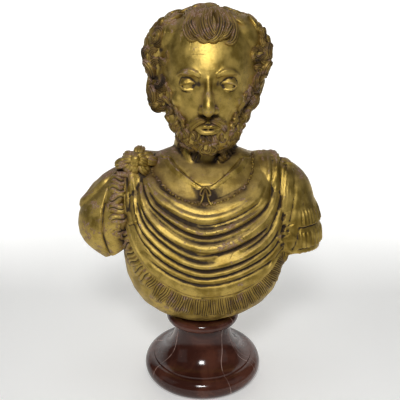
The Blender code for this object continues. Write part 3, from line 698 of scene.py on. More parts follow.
class Scalp:
    """Directions round a centre in the head's frame, by which locks of hair are laid on its skin."""

    RAY_START = 0.04
    LOWEST = -0.008
    HIGHEST = 0.025
    JUMP = 2.5
    EVEN_ROUNDS = 4
    WAVE_STEPS = 8
    CURL_STEPS = 12
    WAVE_SHAPE = (0.45, 0.92, 1.0, 0.95, 0.66, 0.10)
    CURL_SHAPE = (0.55, 0.95, 1.0, 0.92, 0.70, 0.30)

    def __init__(self, centre: Point, radii: Point, whorl: tuple[float, float], tree: BVHTree) -> None:
        """Keep the rough ellipsoid, the place that the hair is combed away from, and the skin's tree."""
        self.centre = Vector(centre)
        self.radii = Vector(radii)
        self.whorl = whorl
        self.tree = tree

    def scaled(self, way: Vector) -> float:
        """How long a way from the centre is, with the ellipsoid's own radius as one."""
        return Vector([w / r for w, r in zip(way, self.radii)]).length

    def settle(self, point: Vector) -> Vector:
        """The point moved along its ray onto the skin, or onto the ellipsoid where the ray misses."""
        way = point - self.centre
        rough = self.centre + way / self.scaled(way)
        hit = self.tree.ray_cast(rough + way.normalized() * self.RAY_START, -way)[0]
        off = 0.0 if hit is None else (hit - rough).dot(way.normalized())
        return rough + way.normalized() * min(max(off, self.LOWEST), self.HIGHEST)

    def even(self, path: Sequence[Vector]) -> list[Vector]:
        """The path with its height over the ellipsoid smoothed along it."""
        ways = [point - self.centre for point in path]
        rough = [way.length / self.scaled(way) for way in ways]
        off = np.array([way.length - length for way, length in zip(ways, rough)])
        for _ in range(self.EVEN_ROUNDS):
            padded = np.concatenate([off[:1], off, off[-1:]])
            off = (padded[:-2] + 2 * padded[1:-1] + padded[2:]) / 4
        return [self.centre + way.normalized() * (length + lift)
                for way, length, lift in zip(ways, rough, off)]

    def point(self, turn: float, rise_up: float) -> Vector:
        """The skin's point at angles in degrees, round from the face (+ to the figure's left) and up."""
        a, e = math.radians(turn), math.radians(rise_up)
        way = Vector((math.sin(a) * math.cos(e), -math.cos(a) * math.cos(e), math.sin(e)))
        return self.settle(self.centre + Vector([w * r for w, r in zip(way, self.radii)]))

    def out(self, point: Vector) -> Vector:
        """The outward normal near a point."""
        way = point - self.centre
        return Vector([w / r ** 2 for w, r in zip(way, self.radii)]).normalized()

    def bundle(self, clay: Clay, path: Sequence[Vector], width: float, strands: int, lift: float,
               shape: Sequence[float]) -> None:
        """A band of strands along a path on the scalp, left out where the path jumps between masses.

        Args:
            clay: the masses that it joins.
            path: the lock's middle line on the scalp.
            width: its full width.
            strands: how many strands it shows.
            lift: how far its middle stands off the scalp.
            shape: its shares of the full width, from the root to the tip.
        """
        path = self.even(path)
        steps = [(b - a).length for a, b in zip(path, path[1:])]
        if max(steps) > self.JUMP * float(np.median(steps)):
            return
        spots = [tuple(point) for point in path]
        ups = [tuple(self.out(point)) for point in path]
        clay.band(spots, ups, width, lift, strands, 6 + 3 * strands, shape)

    def wave(self, clay: Clay, turn: float, rise_up: float, swerve: float, curl: float, length: float,
             width: float, strands: int, lift: float) -> None:
        """A lock combed away from the whorl.

        Args:
            clay: the masses that it joins.
            turn: where it starts, round from the face in degrees.
            rise_up: where it starts, up in degrees.
            swerve: how far it starts off the combed way, in degrees.
            curl: how far it bends over its length, in degrees.
            length: its length.
            width: its full width.
            strands: how many strands it shows.
            lift: how far its middle stands off the scalp.
        """
        point = self.point(turn, rise_up)
        up = self.out(point)
        comb = point - self.point(*self.whorl)
        way = Matrix.Rotation(math.radians(swerve), 3, up) @ (comb - up * comb.dot(up)).normalized()
        path = []
        for _ in range(self.WAVE_STEPS):
            path.append(self.settle(point))
            up = self.out(point)
            bend = Matrix.Rotation(math.radians(curl) / self.WAVE_STEPS, 3, up)
            way = (bend @ (way - up * way.dot(up))).normalized()
            point = point + way * (length / self.WAVE_STEPS)
        self.bundle(clay, path, width, strands, lift, self.WAVE_SHAPE)

    def curl(self, clay: Clay, turn: float, rise_up: float, radius: float, start: float, sweep: float,
             strands: int, lift: float) -> None:
        """A lock rolled into a flat spiral.

        Args:
            clay: the masses that it joins.
            turn: its middle, round from the front in degrees.
            rise_up: its middle, up in degrees.
            radius: its outer radius.
            start: where it enters the spiral, in degrees from the right as seen from outside.
            sweep: how far it winds, + against the clock as seen from outside.
            strands: how many strands it shows.
            lift: how far it stands off the scalp.
        """
        middle = self.point(turn, rise_up)
        up = self.out(middle)
        high = (Vector((0, 0, 1)) - up * up.z).normalized()
        right = high.cross(up)
        path = []
        for i in range(self.CURL_STEPS + 1):
            t = i / self.CURL_STEPS
            angle = math.radians(start + sweep * t)
            reach = radius * (0.60 - 0.34 * t ** 1.3)
            spot = middle + right * (reach * math.cos(angle)) + high * (reach * math.sin(angle))
            path.append(self.settle(spot) + up * (lift * (0.15 - 0.75 * t)))
        self.bundle(clay, path, radius * 0.84, strands, lift, self.CURL_SHAPE)


@dataclass
class Head:
    """The head's skin: the face, the masses under the hair, and the neck down to the collar."""

    masses: Masses
    voxel_base: float = 0.0017
    voxel_fine: float = 0.0013
    triangles: int = 120000
    cut_height: float = 0.235
    eye_apart: float = 0.0310
    eye_radius: float = 0.0135
    eye_depth: float = -0.0722
    dents: tuple[tuple[float, float, float, float, float], ...] = (
        (0.0310, 0.001, 0.0165, 0.0110, 0.0090), (0.0150, 0.003, 0.0055, 0.0085, 0.0025),
        (0.047, -0.056, 0.0160, 0.0180, 0.0035), (0.070, 0.032, 0.0120, 0.0220, 0.0035))
    lids: tuple[Point, ...] = ((0.0056, 0.0024, 1.07), (-0.0066, 0.0020, 1.03), (0.0086, 0.0030, 1.00),
                               (0.0122, 0.0034, 0.92))

    def soften_face(self, skin: Skin) -> None:
        """Sink eye sockets, temples and cheeks into the face."""
        local = np.array(self.masses.head_place().inverted())
        at = skin.at @ local[:3, :3].T + local[:3, 3]
        x, y, z = at.T
        face = rise(-y, 0.015, 0.045)
        for side in (-1, 1):
            dents = [depth * np.exp(-((x - side * across) / wide) ** 2 - ((z - up) / high) ** 2)
                     for across, up, wide, high, depth in self.dents]
            skin.relief -= face * sum(dents)
            nostril = np.exp(-((x - side * 0.0066) / 0.0030) ** 2 - ((z + 0.0475) / 0.0030) ** 2)
            skin.relief -= rise(-y, 0.090, 0.098) * 0.0055 * nostril

    def eyes(self, clay: Clay) -> None:
        """Eyeballs between an upper and a lower lid, with a fold above."""
        for side in (-1, 1):
            centre = Vector((side * self.eye_apart, self.eye_depth, 0.0))
            clay.ball(centre, (self.eye_radius, self.eye_radius, self.eye_radius * 0.93))
            for height, radius, out in self.lids:
                path = []
                for k in range(9):
                    across = -1 + 2 * k / 8
                    x = across * 0.0150
                    z = height * (1 - across ** 2) ** 0.7 - side * across * 0.0010 - 0.0010
                    deep = math.sqrt(max((out * self.eye_radius) ** 2 - (x * 0.80) ** 2 - z ** 2, 1e-8))
                    path.append((centre.x + x, centre.y - deep, centre.z + z))
                clay.tube(path, (radius * 0.4, radius, radius, radius, radius * 0.5), sides=10, count=24)

    def brows(self, clay: Clay) -> None:
        """Brows of a few short strands on the brow ridge."""
        for side in (-1, 1):
            for k in range(3):
                drop = 0.0022 * (k - 1)
                path = ((side * 0.0130, -0.0955, 0.0155 + drop), (side * 0.0260, -0.0945, 0.0215 + drop),
                        (side * 0.0400, -0.0860, 0.0205 + drop * 0.6), (side * 0.0500, -0.0745, 0.0140))
                clay.tube(path, (0.0012, 0.0021, 0.0020, 0.0009), sides=8)

    def mouth(self, clay: Clay) -> None:
        """Closed lips with a parting line between them."""
        for side in (-1, 1):
            path = ((0, -0.0990, -0.0643), (side * 0.006, -0.0992, -0.0630),
                    (side * 0.014, -0.0955, -0.0650), (side * 0.0225, -0.0885, -0.0682))
            clay.tube(path, (0.0030, 0.0036, 0.0028, 0.0010), sides=10)
        clay.tube(((-0.0205, -0.0890, -0.0698), (-0.009, -0.0968, -0.0728), (0.009, -0.0968, -0.0728),
                   (0.0205, -0.0890, -0.0698)), (0.0010, 0.0044, 0.0044, 0.0010), sides=10)

    def cut_body(self, body: bpy.types.Mesh) -> bpy.types.Mesh:
        """Keep the head and neck above the cut, closed with a flat face."""
        whole = bmesh.new()
        whole.from_mesh(body)
        bmesh.ops.bisect_plane(whole, geom=whole.verts[:] + whole.edges[:] + whole.faces[:], dist=1e-6,
                               plane_co=(0, 0, self.cut_height), plane_no=(0, 0, -1), clear_outer=True)
        bmesh.ops.holes_fill(whole, edges=[e for e in whole.edges if e.is_boundary], sides=0)
        return as_mesh(whole, "cut")

    def build(self) -> bpy.types.Mesh:
        """Fuse, carve and finish the head's skin."""
        clay = Clay()
        self.masses.torso(clay)
        self.masses.skull_and_face(clay)
        skin = Skin(clay.fuse(self.voxel_base, 14))
        self.soften_face(skin)
        Chest(self.masses).sink(skin, Surface.HEAD)
        body = self.cut_body(skin.apply())
        details = Clay()
        self.eyes(details)
        self.brows(details)
        self.mouth(details)
        fine = Clay()
        fine.take(details, self.masses.head_place())
        fine.shape.from_mesh(body)
        bpy.data.meshes.remove(body)
        return thinned(fine.fuse(self.voxel_fine, 1), self.triangles)


@dataclass
class Hair:
    """Hair and beard: bands of strands laid over the head, each a closed solid of its own."""

    masses: Masses
    head: bpy.types.Mesh
    triangles: int = 190000
    rows: tuple[float, ...] = (84, 73, 62, 51, 40, 29, 18, 7, -4, -15, -26, -37, -48)
    roll_rows: tuple[tuple[float, ...], ...] = (
        (62, 34, 6, -20), (22, -6, -34), (62, 34, 6, -20), (16, -16, -42))
    bold_curls: tuple[tuple[tuple[float, ...], ...], ...] = (
        ((14, 34, 0.0170, 150, -290), (46, 2, 0.0150, 40, 270), (54, -26, 0.0190, 120, -300),
         (50, 66, 0.0130, 60, -240)),
        ((50, -2, 0.0190, 90, -270), (14, 30, 0.0125, 60, -250), (20, -40, 0.0140, 60, 260)),
        ((50, 46, 0.0150, 30, 290), (58, 14, 0.0150, 60, 300), (52, -20, 0.0155, 60, 290),
         (10, 10, 0.0140, 120, 260), (14, 44, 0.0130, 120, -260)),
        ((40, 28, 0.0140, 90, 280), (30, -20, 0.0150, 100, 250)))
    bold_scale: float = 1.12
    beard_rows: tuple[tuple[float, int, float], ...] = (
        (42, 2, 84), (30, 4, 72), (18, 6, 62), (6, 6, 56), (-6, 8, 46), (-17, 10, 36), (-28, 12, 5),
        (-39, 13, 0), (-50, 11, 0), (-62, 9, 0), (-75, 6, 0))
    beard_half: float = 92
    forelocks: int = 9

    def __post_init__(self) -> None:
        """Keep a tree of the head's skin in the head's own frame."""
        skin = bmesh.new()
        skin.from_mesh(self.head)
        bmesh.ops.transform(skin, matrix=self.masses.head_place().inverted(), verts=skin.verts)
        self.tree = BVHTree.FromBMesh(skin)
        skin.free()

    def scalp(self, centre: Point, radii: Sequence[float]) -> Scalp:
        """Directions round this centre."""
        return Scalp(centre, tuple(radii), self.masses.whorl, self.tree)

    @staticmethod
    def hairline(rise_up: float) -> float:
        """How far round from the face the hair starts at this height, in degrees."""
        return float(np.interp(rise_up, (-48, -20, 10, 45, 58, 66, 77), (118, 100, 84, 78, 74, 60, 0)))

    def cover(self, clay: Clay, rng: random.Random) -> None:
        """Rows of locks combed from the whorl over the crown and down the back of the head."""
        scalp = self.scalp((0, 0.002, 0.008), self.masses.hair)
        for row, rise_up in enumerate(self.rows):
            count = max(5, round(34 * math.cos(math.radians(rise_up))))
            for k in range(count):
                turn = 360 * (k + 0.5 * (row % 2)) / count - 180 + rng.uniform(-4, 4)
                swerve, curl = rng.uniform(-28, 28), rng.choice((-1, 1)) * rng.uniform(50, 105)
                if abs(turn) < self.hairline(rise_up):
                    continue
                lift = float(np.interp(rise_up, (20, 40, 62, 75), (0.0052, 0.0036, 0.0040, 0.0048)))
                scalp.wave(clay, turn, rise_up + rng.uniform(-3, 3), swerve, curl, 0.042, 0.0205, 4, lift)

    def forelock(self, clay: Clay) -> None:
        """Comma-shaped locks that fall on the middle of the brow."""
        brow = self.scalp((0, 0.0, 0.010), self.masses.skull)
        for k in range(self.forelocks):
            x = -0.033 + 0.0094 * k
            bend = 0.015 if k < 5 else -0.015
            drop = 0.006 * math.sin(2.1 * k)
            spots = ((0.60 * x, -0.014, 0.108), (0.80 * x - 0.1 * bend, -0.044, 0.103),
                     (x - 0.3 * bend, -0.064, 0.095), (x - 0.1 * bend, -0.078, 0.083 + drop),
                     (x + 0.35 * bend, -0.086, 0.074 + drop), (x + bend, -0.088, 0.073 + drop))
            path = [brow.settle(Vector(spot)) for spot in spots]
            lift = 0.0080 + 0.0022 * (k % 2)
            brow.bundle(clay, path, 0.0135, 3, lift, (0.45, 0.80, 1.0, 1.0, 0.75, 0.15))

    def side_rolls(self, clay: Clay, rng: random.Random) -> None:
        """Thick curls stacked over the ears, larger on one side than on the other."""
        for k, (centre, radii) in enumerate(self.masses.rolls):
            roll = self.scalp(centre, radii)
            side = -1 if centre[0] < 0 else 1
            for row, rise_up in enumerate(self.roll_rows[k]):
                for turn in range(-2, 190, 28):
                    start, sweep = rng.uniform(40, 150), rng.choice((-1, 1)) * rng.uniform(240, 300)
                    if rise_up > 50 and turn > 120:
                        continue
                    place = side * (turn + 14 * (row % 2) + rng.uniform(-6, 6))
                    high = rise_up + rng.uniform(-5, 5)
                    roll.curl(clay, place, high, 0.0150, start, sweep, 4, 0.0052)
            for turn, rise_up, radius, start, sweep in self.bold_curls[k]:
                roll.curl(clay, side * turn, rise_up, radius * self.bold_scale, start, sweep, 5, 0.0105)

    def beard(self, clay: Clay, rng: random.Random) -> None:
        """Short tight curls along the jaw and over the chin."""
        jaw = self.scalp((0, -0.036, -0.058), self.masses.jaw)
        half = self.beard_half
        for rise_up, count, gap in self.beard_rows:
            for k in range(count):
                share = k / (count - 1) * 2 - 1
                side = 1 if share > 0 else -1
                turn = side * (gap + (half - gap) * abs(share)) if gap else half * share
                place = turn + rng.uniform(-3, 3), rise_up + rng.uniform(-3, 3)
                radius, start = rng.uniform(0.0100, 0.0125), rng.uniform(60, 130)
                sweep = rng.choice((side, side, -side)) * rng.uniform(200, 280)
                jaw.curl(clay, *place, radius, start, sweep, 3, 0.0048)
        for side in (-1, 1):
            jaw.wave(clay, side * 7, -20, side * 10, side * 60, 0.022, 0.0120, 3, 0.0045)
            jaw.curl(clay, side * 6, -26, 0.0115, 80, side * 240, 3, 0.0060)
            jaw.curl(clay, side * 5, -37, 0.0120, 100, -side * 240, 3, 0.0060)

    def moustache(self, clay: Clay) -> None:
        """Two bands a side that part under the nose and sweep round the mouth."""
        lip = self.scalp((0, -0.060, -0.064), (0.0370, 0.0385, 0.0330))
        for side in (-1, 1):
            for out, width in ((0.0, 0.0100), (0.0062, 0.0095)):
                path = [lip.settle(Vector(spot)) for spot in (
                    (side * (0.0020 + out * 0.5), -0.1000, -0.0530 + out * 0.25),
                    (side * (0.0120 + out), -0.0980, -0.0550 + out * 0.30),
                    (side * (0.0220 + out), -0.0900, -0.0640 + out * 0.20),
                    (side * (0.0285 + out * 0.9), -0.0790, -0.0800))]
                lip.bundle(clay, path, width, 3, 0.0040, (0.45, 0.9, 1.0, 0.9, 0.6, 0.2))

    def build(self, seed: int = 11) -> bpy.types.Mesh:
        """Lay all the locks."""
        clay = Clay()
        rng = random.Random(seed)
        self.cover(clay, rng)
        self.forelock(clay)
        self.side_rolls(clay, rng)
        self.beard(clay, rng)
        self.moustache(clay)
        placed = Clay()
        placed.take(clay, self.masses.head_place())
        bmesh.ops.recalc_face_normals(placed.shape, faces=placed.shape.faces)
        return thinned(as_mesh(placed.shape, "hair"), self.triangles)


@dataclass(frozen=True)
class Fold:
    """One ridge of the cloak: its place at the clasp, on the chest and at the far shoulder, its size."""

    near: float
    middle: float
    far: float
    width: float
    height: float
    start: float = 0.0
    stop: float = 2.0


@dataclass
class Chest:
    """The chest's skin: tunic collar, cloak folds, hem and fringe, sleeves and the clasp."""

    masses: Masses
    voxel_base: float = 0.0015
    voxel_fine: float = 0.00135
    triangles: int = 140000
    cloak: float = 0.0045
    fold_lift: float = 1.22
    fringe_width: float = 0.0260
    tassels: tuple[tuple[float, float, float, float], ...] = (
        (0.00, 0.0160, 0.024, 0.0030), (0.12, 0.0160, 0.032, 0.0032), (0.20, 0.0150, 0.037, 0.0022),
        (0.28, 0.0135, 0.048, 0.0010), (0.42, 0.0115, 0.050, 0.0007), (0.52, 0.0100, 0.040, 0.0006),
        (0.70, 0.0120, 0.030, 0.0012), (1.60, 0.0140, 0.030, 0.0015))
    cord: float = 0.0030
    clasp: Point = (0.0330, 0.0170, 0.0225)
    flap_step: float = 0.0075
    flap_tiers: int = 3
    sink_depth: float = 0.0035
    folds: tuple[Fold, ...] = tuple(Fold(*row) for row in (
        (-0.06, -0.02, -0.06, 0.0050, 0.0040), (0.05, 0.085, 0.05, 0.0125, 0.0075),
        (0.17, 0.235, 0.20, 0.0080, 0.0090), (0.25, 0.330, 0.30, 0.0045, 0.0050, 0.0, 1.0),
        (0.36, 0.455, 0.43, 0.0105, 0.0095), (0.47, 0.570, 0.56, 0.0075, 0.0075, 0.0, 0.50),
        (0.60, 0.690, 0.70, 0.0085, 0.0090), (0.74, 0.810, 0.84, 0.0075, 0.0070, 0.10, 1.3),
        (0.90, 0.920, 0.98, 0.0070, 0.0055, 0.22, 0.80), (1.00, 1.060, 1.08, 0.0130, 0.0035, 0.15, 0.95)))
    creases: tuple[Fold, ...] = tuple(Fold(*row) for row in (
        (0.00, 0.03, 0.0, 0.0032, 0.0035, 0.0, 0.30), (0.11, 0.16, 0.1, 0.0034, 0.0045, 0.0, 0.34),
        (0.21, 0.27, 0.2, 0.0032, 0.0040, 0.0, 0.26), (0.31, 0.39, 0.3, 0.0034, 0.0045, 0.0, 0.36),
        (0.42, 0.50, 0.4, 0.0034, 0.0045, 0.0, 0.30), (0.54, 0.63, 0.5, 0.0036, 0.0045, 0.0, 0.42),
        (0.68, 0.75, 0.7, 0.0040, 0.0040, 0.05, 0.45), (0.0, 0.02, -0.01, 0.0040, 0.0045, 0.55, 1.15),
        (0.1, 0.15, 0.12, 0.0040, 0.0050, 0.60, 1.15), (0.3, 0.40, 0.37, 0.0042, 0.0055, 0.52, 1.10),
        (0.5, 0.62, 0.50, 0.0042, 0.0055, 0.50, 1.05), (0.5, 0.66, 0.63, 0.0045, 0.0055, 0.55, 1.05),
        (0.6, 0.76, 0.77, 0.0045, 0.0050, 0.52, 1.00), (0.8, 0.90, 0.92, 0.0045, 0.0045, 0.60, 1.00)))
    fold_steps: int = 25
    upper_side: float = 1.50
    lower_side: float = 0.62
    valley_width: float = 0.0026
    valley_depth: float = 0.36
    leaf_pitch: float = 0.0062
    leaf_arch: tuple[tuple[float, float], ...] = (
        (0.12, 0.001), (0.40, 0.007), (0.75, 0.005), (1.0, -0.004), (1.08, -0.010))

    def neckline(self, skin: Skin) -> Track:
        """The inner cord, round the opening of the tunic."""
        ends = skin.top(-0.060, 0.030), skin.top(0.070, 0.030)
        front = skin.fronts((-0.060, 0.308), (-0.030, 0.284), (0.004, 0.270), (0.040, 0.285),
                            (0.070, 0.306))
        return Track(skin, [ends[0], *front, ends[1]])

    def border(self, skin: Skin) -> Track:
        """The chain of small leaves below the cord."""
        ends = skin.top(-0.098, 0.020), skin.top(0.084, 0.020)
        front = skin.fronts((-0.092, 0.292), (-0.048, 0.256), (0.004, 0.243), (0.052, 0.256),
                            (0.084, 0.285))
        return Track(skin, [ends[0], *front, ends[1]])

    def inside_neckline(self, skin: Skin) -> np.ndarray:
        """A share that is 1 on the skin of the neck, inside the cord, and 0 on the cloth."""
        x, y, z = skin.at.T
        line = 0.267 + 0.045 * np.clip(np.abs(x - 0.005) / 0.062, 0, 1) ** 1.3
        reach = np.sqrt(((x - 0.005) / 0.066) ** 2 + (y / 0.058) ** 2)
        return rise(z - line, -0.0015, 0.0015) * rise(-reach, -1.35, -1.20)

    def sink(self, skin: Skin, part: Surface) -> None:
        """Sink what the other skin shows, so that the two meet under the cord."""
        inside = self.inside_neckline(skin)
        if part is Surface.CHEST:
            skin.relief -= self.sink_depth * inside
        else:
            skin.relief -= self.sink_depth * (1 - inside) * (skin.at[:, 2] < 0.33)

    def fold_track(self, skin: Skin, fold: Fold) -> tuple[Track, float]:
        """A fold's line from the clasp across the chest, over the far shoulder and round the back.

        Args:
            skin: the skin that it lies on.
            fold: its place at the clasp, on the chest and at the far shoulder.

        Returns:
            The track, and how far along it the top of the far shoulder lies.
        """
        near, middle, far = fold.near, fold.middle, fold.far
        fall, climb = (near + middle) / 2, (middle + far) / 2
        front = skin.fronts((-0.104 - 0.034 * near, 0.288), (-0.068 - 0.050 * fall, 0.252 - 0.085 * fall),
                            (0.004 - 0.010 * middle, 0.229 - 0.132 * middle),
                            (0.080 + 0.040 * climb, 0.251 - 0.112 * climb),
                            (0.108 + 0.050 * far, 0.288 - 0.078 * far))
        back = skin.backs((0.096 + 0.045 * far, 0.270 - 0.050 * far), (0.010, 0.250 - 0.150 * middle),
                          (-0.085 - 0.030 * near, 0.270 - 0.060 * near))
        points = [*front, skin.top(0.104 + 0.050 * far, 0.010),
                  *back, skin.top(-0.100 - 0.030 * near, 0.030)]
        track = Track(skin, points, self.fold_steps * (len(points) - 1) + 1)
        return track, float(track.along[self.fold_steps * len(front)])

    def carve_folds(self, skin: Skin) -> None:
        """Rounded ridges of cloth with steep lower sides and narrow valleys below them."""
        raised = np.zeros(len(skin.at))
        valley = np.zeros(len(skin.at))
        for fold in (*self.folds, *self.creases):
            track, shoulder = self.fold_track(skin, fold)
            near, along, beside = track.measure(skin.at, fold.width * 2.6)
            share = along / shoulder
            swell = 0.55 + 0.45 * np.sin(np.pi * np.clip(share * 1.15, 0, 1)) ** 0.6
            spread = 0.45 + 0.55 * rise(share, 0.0, 0.45)
            plain = np.where(share > 1.0, 0.6, 1.0)
            fade = rise(share, fold.start - 0.001, fold.start + 0.10)
            fade = fade * rise(-share, -fold.stop, 0.10 - fold.stop)
            width = fold.width * spread * np.where(beside > 0, self.upper_side, self.lower_side)
            height = self.fold_lift * fold.height * swell * plain * fade
            raised[near] = np.maximum(raised[near], height * np.exp(-np.abs(beside / width) ** 2.0))
            foot = (beside + fold.width * spread * 1.05) / self.valley_width
            depth = self.valley_depth * fold.height * swell * fade
            valley[near] = np.maximum(valley[near], depth * np.exp(-foot ** 2))
        skin.relief += raised - valley

    def hem(self, skin: Skin) -> Track:
        """The cloak's lower edge, from the clasp across the belly, up the far side and round the back."""
        front = skin.fronts((-0.139, 0.288), (-0.141, 0.245), (-0.137, 0.197), (-0.112, 0.143),
                            (-0.074, 0.101), (-0.020, 0.0743), (0.030, 0.0726), (0.070, 0.0821),
                            (0.110, 0.108), (0.140, 0.150))
        back = skin.backs((0.150, 0.150), (0.100, 0.090), (0.0, 0.068), (-0.100, 0.100), (-0.135, 0.160),
                          (-0.140, 0.250))
        return Track(skin, front + back, 400)

    def carve_hem(self, skin: Skin, track: Track) -> None:
        """Cloth that stands off the breastplate, and a double line along its edge."""
        near, _, beside = track.measure(skin.at, self.fringe_width * 1.25)
        inside = rise(beside, -0.0012, 0.0012)
        band = rise(beside + self.fringe_width * 0.86, 0.0, 0.004) * (1 - inside)
        skin.relief[near] += 0.0016 * band
        skin.relief[near] += self.cloak * inside * np.clip(1.4 - beside / 0.02, 0, 1)
        for offset in (0.0015, 0.0085):
            skin.relief[near] += 0.0018 * np.exp(-(((beside - offset) / 0.0017) ** 2)) * inside

    def fringe(self, clay: Clay, skin: Skin, track: Track, rng: random.Random) -> None:
        """Tassels that hang from the hem: long and wavy on one side, short and fine on the other."""
        table = np.array(self.tassels)
        s = 0.008
        while s < track.length - 0.008:
            width, reach, sway = (float(np.interp(s, table[:, 0], table[:, k])) for k in (1, 2, 3))
            lean = rng.uniform(-0.002, 0.003)
            sway *= rng.choice((-1, 1)) * rng.uniform(0.6, 1.1)
            reach *= rng.uniform(0.86, 1.08)
            spot, ahead, beside = track.place(s)
            points, ups = [], []
            for t in (0.0, 0.2, 0.4, 0.6, 0.8, 1.0):
                aside = lean * t + sway * math.sin(2 * math.pi * t)
                guess = spot + beside * (0.002 - reach * t) + ahead * aside
                hit, normal = skin.tree.find_nearest(guess)[:2]
                points.append(tuple(hit + normal * (0.0018 - 0.0008 * t)))
                ups.append(tuple(normal))
            clay.band(points, ups, width * 1.30, 0.0072, 2 if s < 0.20 else 4, 14,
                      (0.90, 1.0, 1.0, 1.0, 0.95, 0.72), groove=0.60, sunk=0.0050)
            s += width * rng.uniform(0.94, 1.06)

    def carve_collar(self, skin: Skin) -> None:
        """The double cord at the neckline."""
        track = self.neckline(skin)
        near, _, beside = track.measure(skin.at, 0.012)
        cord = self.cord * np.sqrt(np.clip(1 - (beside / 0.0028) ** 2, 0, 1))
        cord += 0.5 * self.cord * np.sqrt(np.clip(1 - ((beside + 0.0046) / 0.0018) ** 2, 0, 1))
        skin.relief[near] = np.maximum(skin.relief[near], cord)

    def leaves(self, clay: Clay, skin: Skin) -> None:
        """The chain of small leaves, turned to either side in turn, and the bow where the cord is tied."""
        track = self.border(skin)
        count = int(track.length / self.leaf_pitch)
        for k in range(4, count - 4):
            spot, ahead, beside = track.place((k + 0.5) * track.length / count)
            way = (ahead + beside * (0.75 if k % 2 else -0.75)).normalized()
            normal = skin.tree.find_nearest(spot)[1]
            ends = [spot + way * r + normal * h
                    for r, h in ((-0.0044, 0.0006), (0.0, 0.0022), (0.0048, 0.0006))]
            clay.tube(ends, (0.0010, 0.0024, 0.0006), flat=0.8, sides=8, count=7, lean=tuple(normal))
        for side in (-1, 1):
            for path in (((0, 0.270), (0.0055, 0.266), (0.0090, 0.259), (0.0055, 0.257), (0.0015, 0.264)),
                         ((0, 0.268), (0.0035, 0.258), (0.0060, 0.249), (0.0105, 0.244), (0.0125, 0.248))):
                points = []
                for x, z in path:
                    points.append(Vector(skin.front(0.004 + side * x, z)) + Vector((0, -0.0018, 0.0008)))
                clay.tube(points, (0.0018, 0.0022, 0.0020, 0.0014), sides=8, count=14)

    def carve_sleeves(self, skin: Skin) -> None:
        """Tiers of fringed flaps on one arm stub; a diagonal fold and straps on the other."""
        x, y, z = skin.at.T
        arm = rise(x, 0.166, 0.178)
        top, low = 0.236, 0.117
        turn = np.arctan2(y, x - 0.145)
        bow = 0.10 * np.sin(1.6 * turn + 0.4)
        tier = (top - z) / (top - low) * self.flap_tiers + bow
        part = np.where((tier > 0) & (tier < self.flap_tiers + 0.2), tier % 1.0, 0.0)
        wave = turn * 26 + 5 * np.floor(tier) + 0.8 * np.sin(turn * 7 + 2 * np.floor(tier))
        strand = np.abs(np.sin(wave)) ** 0.7
        cut = rise(part, 0.18, 0.32)
        flap = rise(part, 0.0, 0.5) * 0.55 + part * 0.45 - cut * 0.48 * (1 - strand)
        skin.relief += arm * self.flap_step * flap
        sleeve = rise(-x, 0.160, 0.176)
        edge = 0.222 + (x + 0.227) * 0.95
        below = rise(edge - z, 0.0, 0.003)
        turn = np.arctan2(y, -(x + 0.150))
        strap = rise(-np.abs(np.sin(turn * 3.2 + 0.5)), -0.16, -0.04)
        pleat = np.exp(-((z - edge - 0.004) / 0.0035) ** 2)
        skin.relief += sleeve * (0.0022 * pleat - below * (0.0030 + 0.0035 * strap))
        for offset in (0.016, 0.030):
            line = np.exp(-((z - edge - offset - 0.010 * np.sin(60 * (x + 0.2))) / 0.0030) ** 2)
            skin.relief += sleeve * 0.0014 * line

    def rosette(self, clay: Clay, skin: Skin) -> None:
        """The knotted rosette that holds the cloak on the near shoulder."""
        wide, deep, high = self.clasp
        middle = Vector(skin.front(-0.117, 0.301)) + Vector((0.0, 0.002, 0.005))
        tilt = Matrix.Rotation(math.radians(-24), 3, "X")
        clay.ball(middle, (wide * 0.80, deep, high * 0.82), (-24, 0, 0))
        out = tilt @ Vector((0, -1, 0))
        for count, reach, size, rise_out in ((8, 1.0, 0.0200, 0.003), (5, 0.58, 0.0175, 0.010)):
            for k in range(count):
                turn = 2 * math.pi * (k + 0.5 * (count == 5)) / count + 0.25 * math.sin(5.1 * k)
                way = tilt @ Vector((math.cos(turn) * wide, 0, math.sin(turn) * high))
                way = way * reach * (1 + 0.16 * math.sin(3.7 * k))
                away = way.normalized()
                path = [tuple(middle + way * share + out * (rise_out + raised))
                        for share, raised in self.leaf_arch]
                ups = [tuple(up.normalized()) for up in
                       (out, out, out + away * 0.5, out + away, out * 0.4 + away)]
                clay.band(path, ups, size, 0.0050, 3, 14, (0.35, 0.85, 1.0, 0.85, 0.35), groove=0.45,
                          sunk=0.0060)
        knot = middle + tilt @ Vector((0, -0.0185, 0))
        clay.ball(knot, (0.0085, 0.0070, 0.0075), (0, 0, 0), 20)
        shelf = [middle + Vector((x, -0.006, z))
                 for x, z in ((-0.036, -0.021), (-0.012, -0.0235), (0.016, -0.022), (0.030, -0.012))]
        clay.tube(shelf, (0.0040, 0.0066, 0.0062, 0.0040), sides=12)

    def build(self, seed: int = 4) -> bpy.types.Mesh:
        """Fuse, carve and finish the chest's skin."""
        clay = Clay()
        self.masses.torso(clay)
        skin = Skin(clay.fuse(self.voxel_base, 12))
        rng = random.Random(seed)
        track = self.hem(skin)
        fine, laid = Clay(), Clay()
        self.carve_folds(skin)
        self.carve_collar(skin)
        self.carve_hem(skin, track)
        self.carve_sleeves(skin)
        self.sink(skin, Surface.CHEST)
        self.fringe(laid, skin, track, rng)
        self.leaves(laid, skin)
        self.rosette(laid, skin)
        bmesh.ops.recalc_face_normals(laid.shape, faces=laid.shape.faces)
        fine.shape.from_mesh(skin.apply())
        laid.shape.from_mesh(thinned(fine.fuse(self.voxel_fine, 1), self.triangles))
        return as_mesh(laid.shape, "chest")


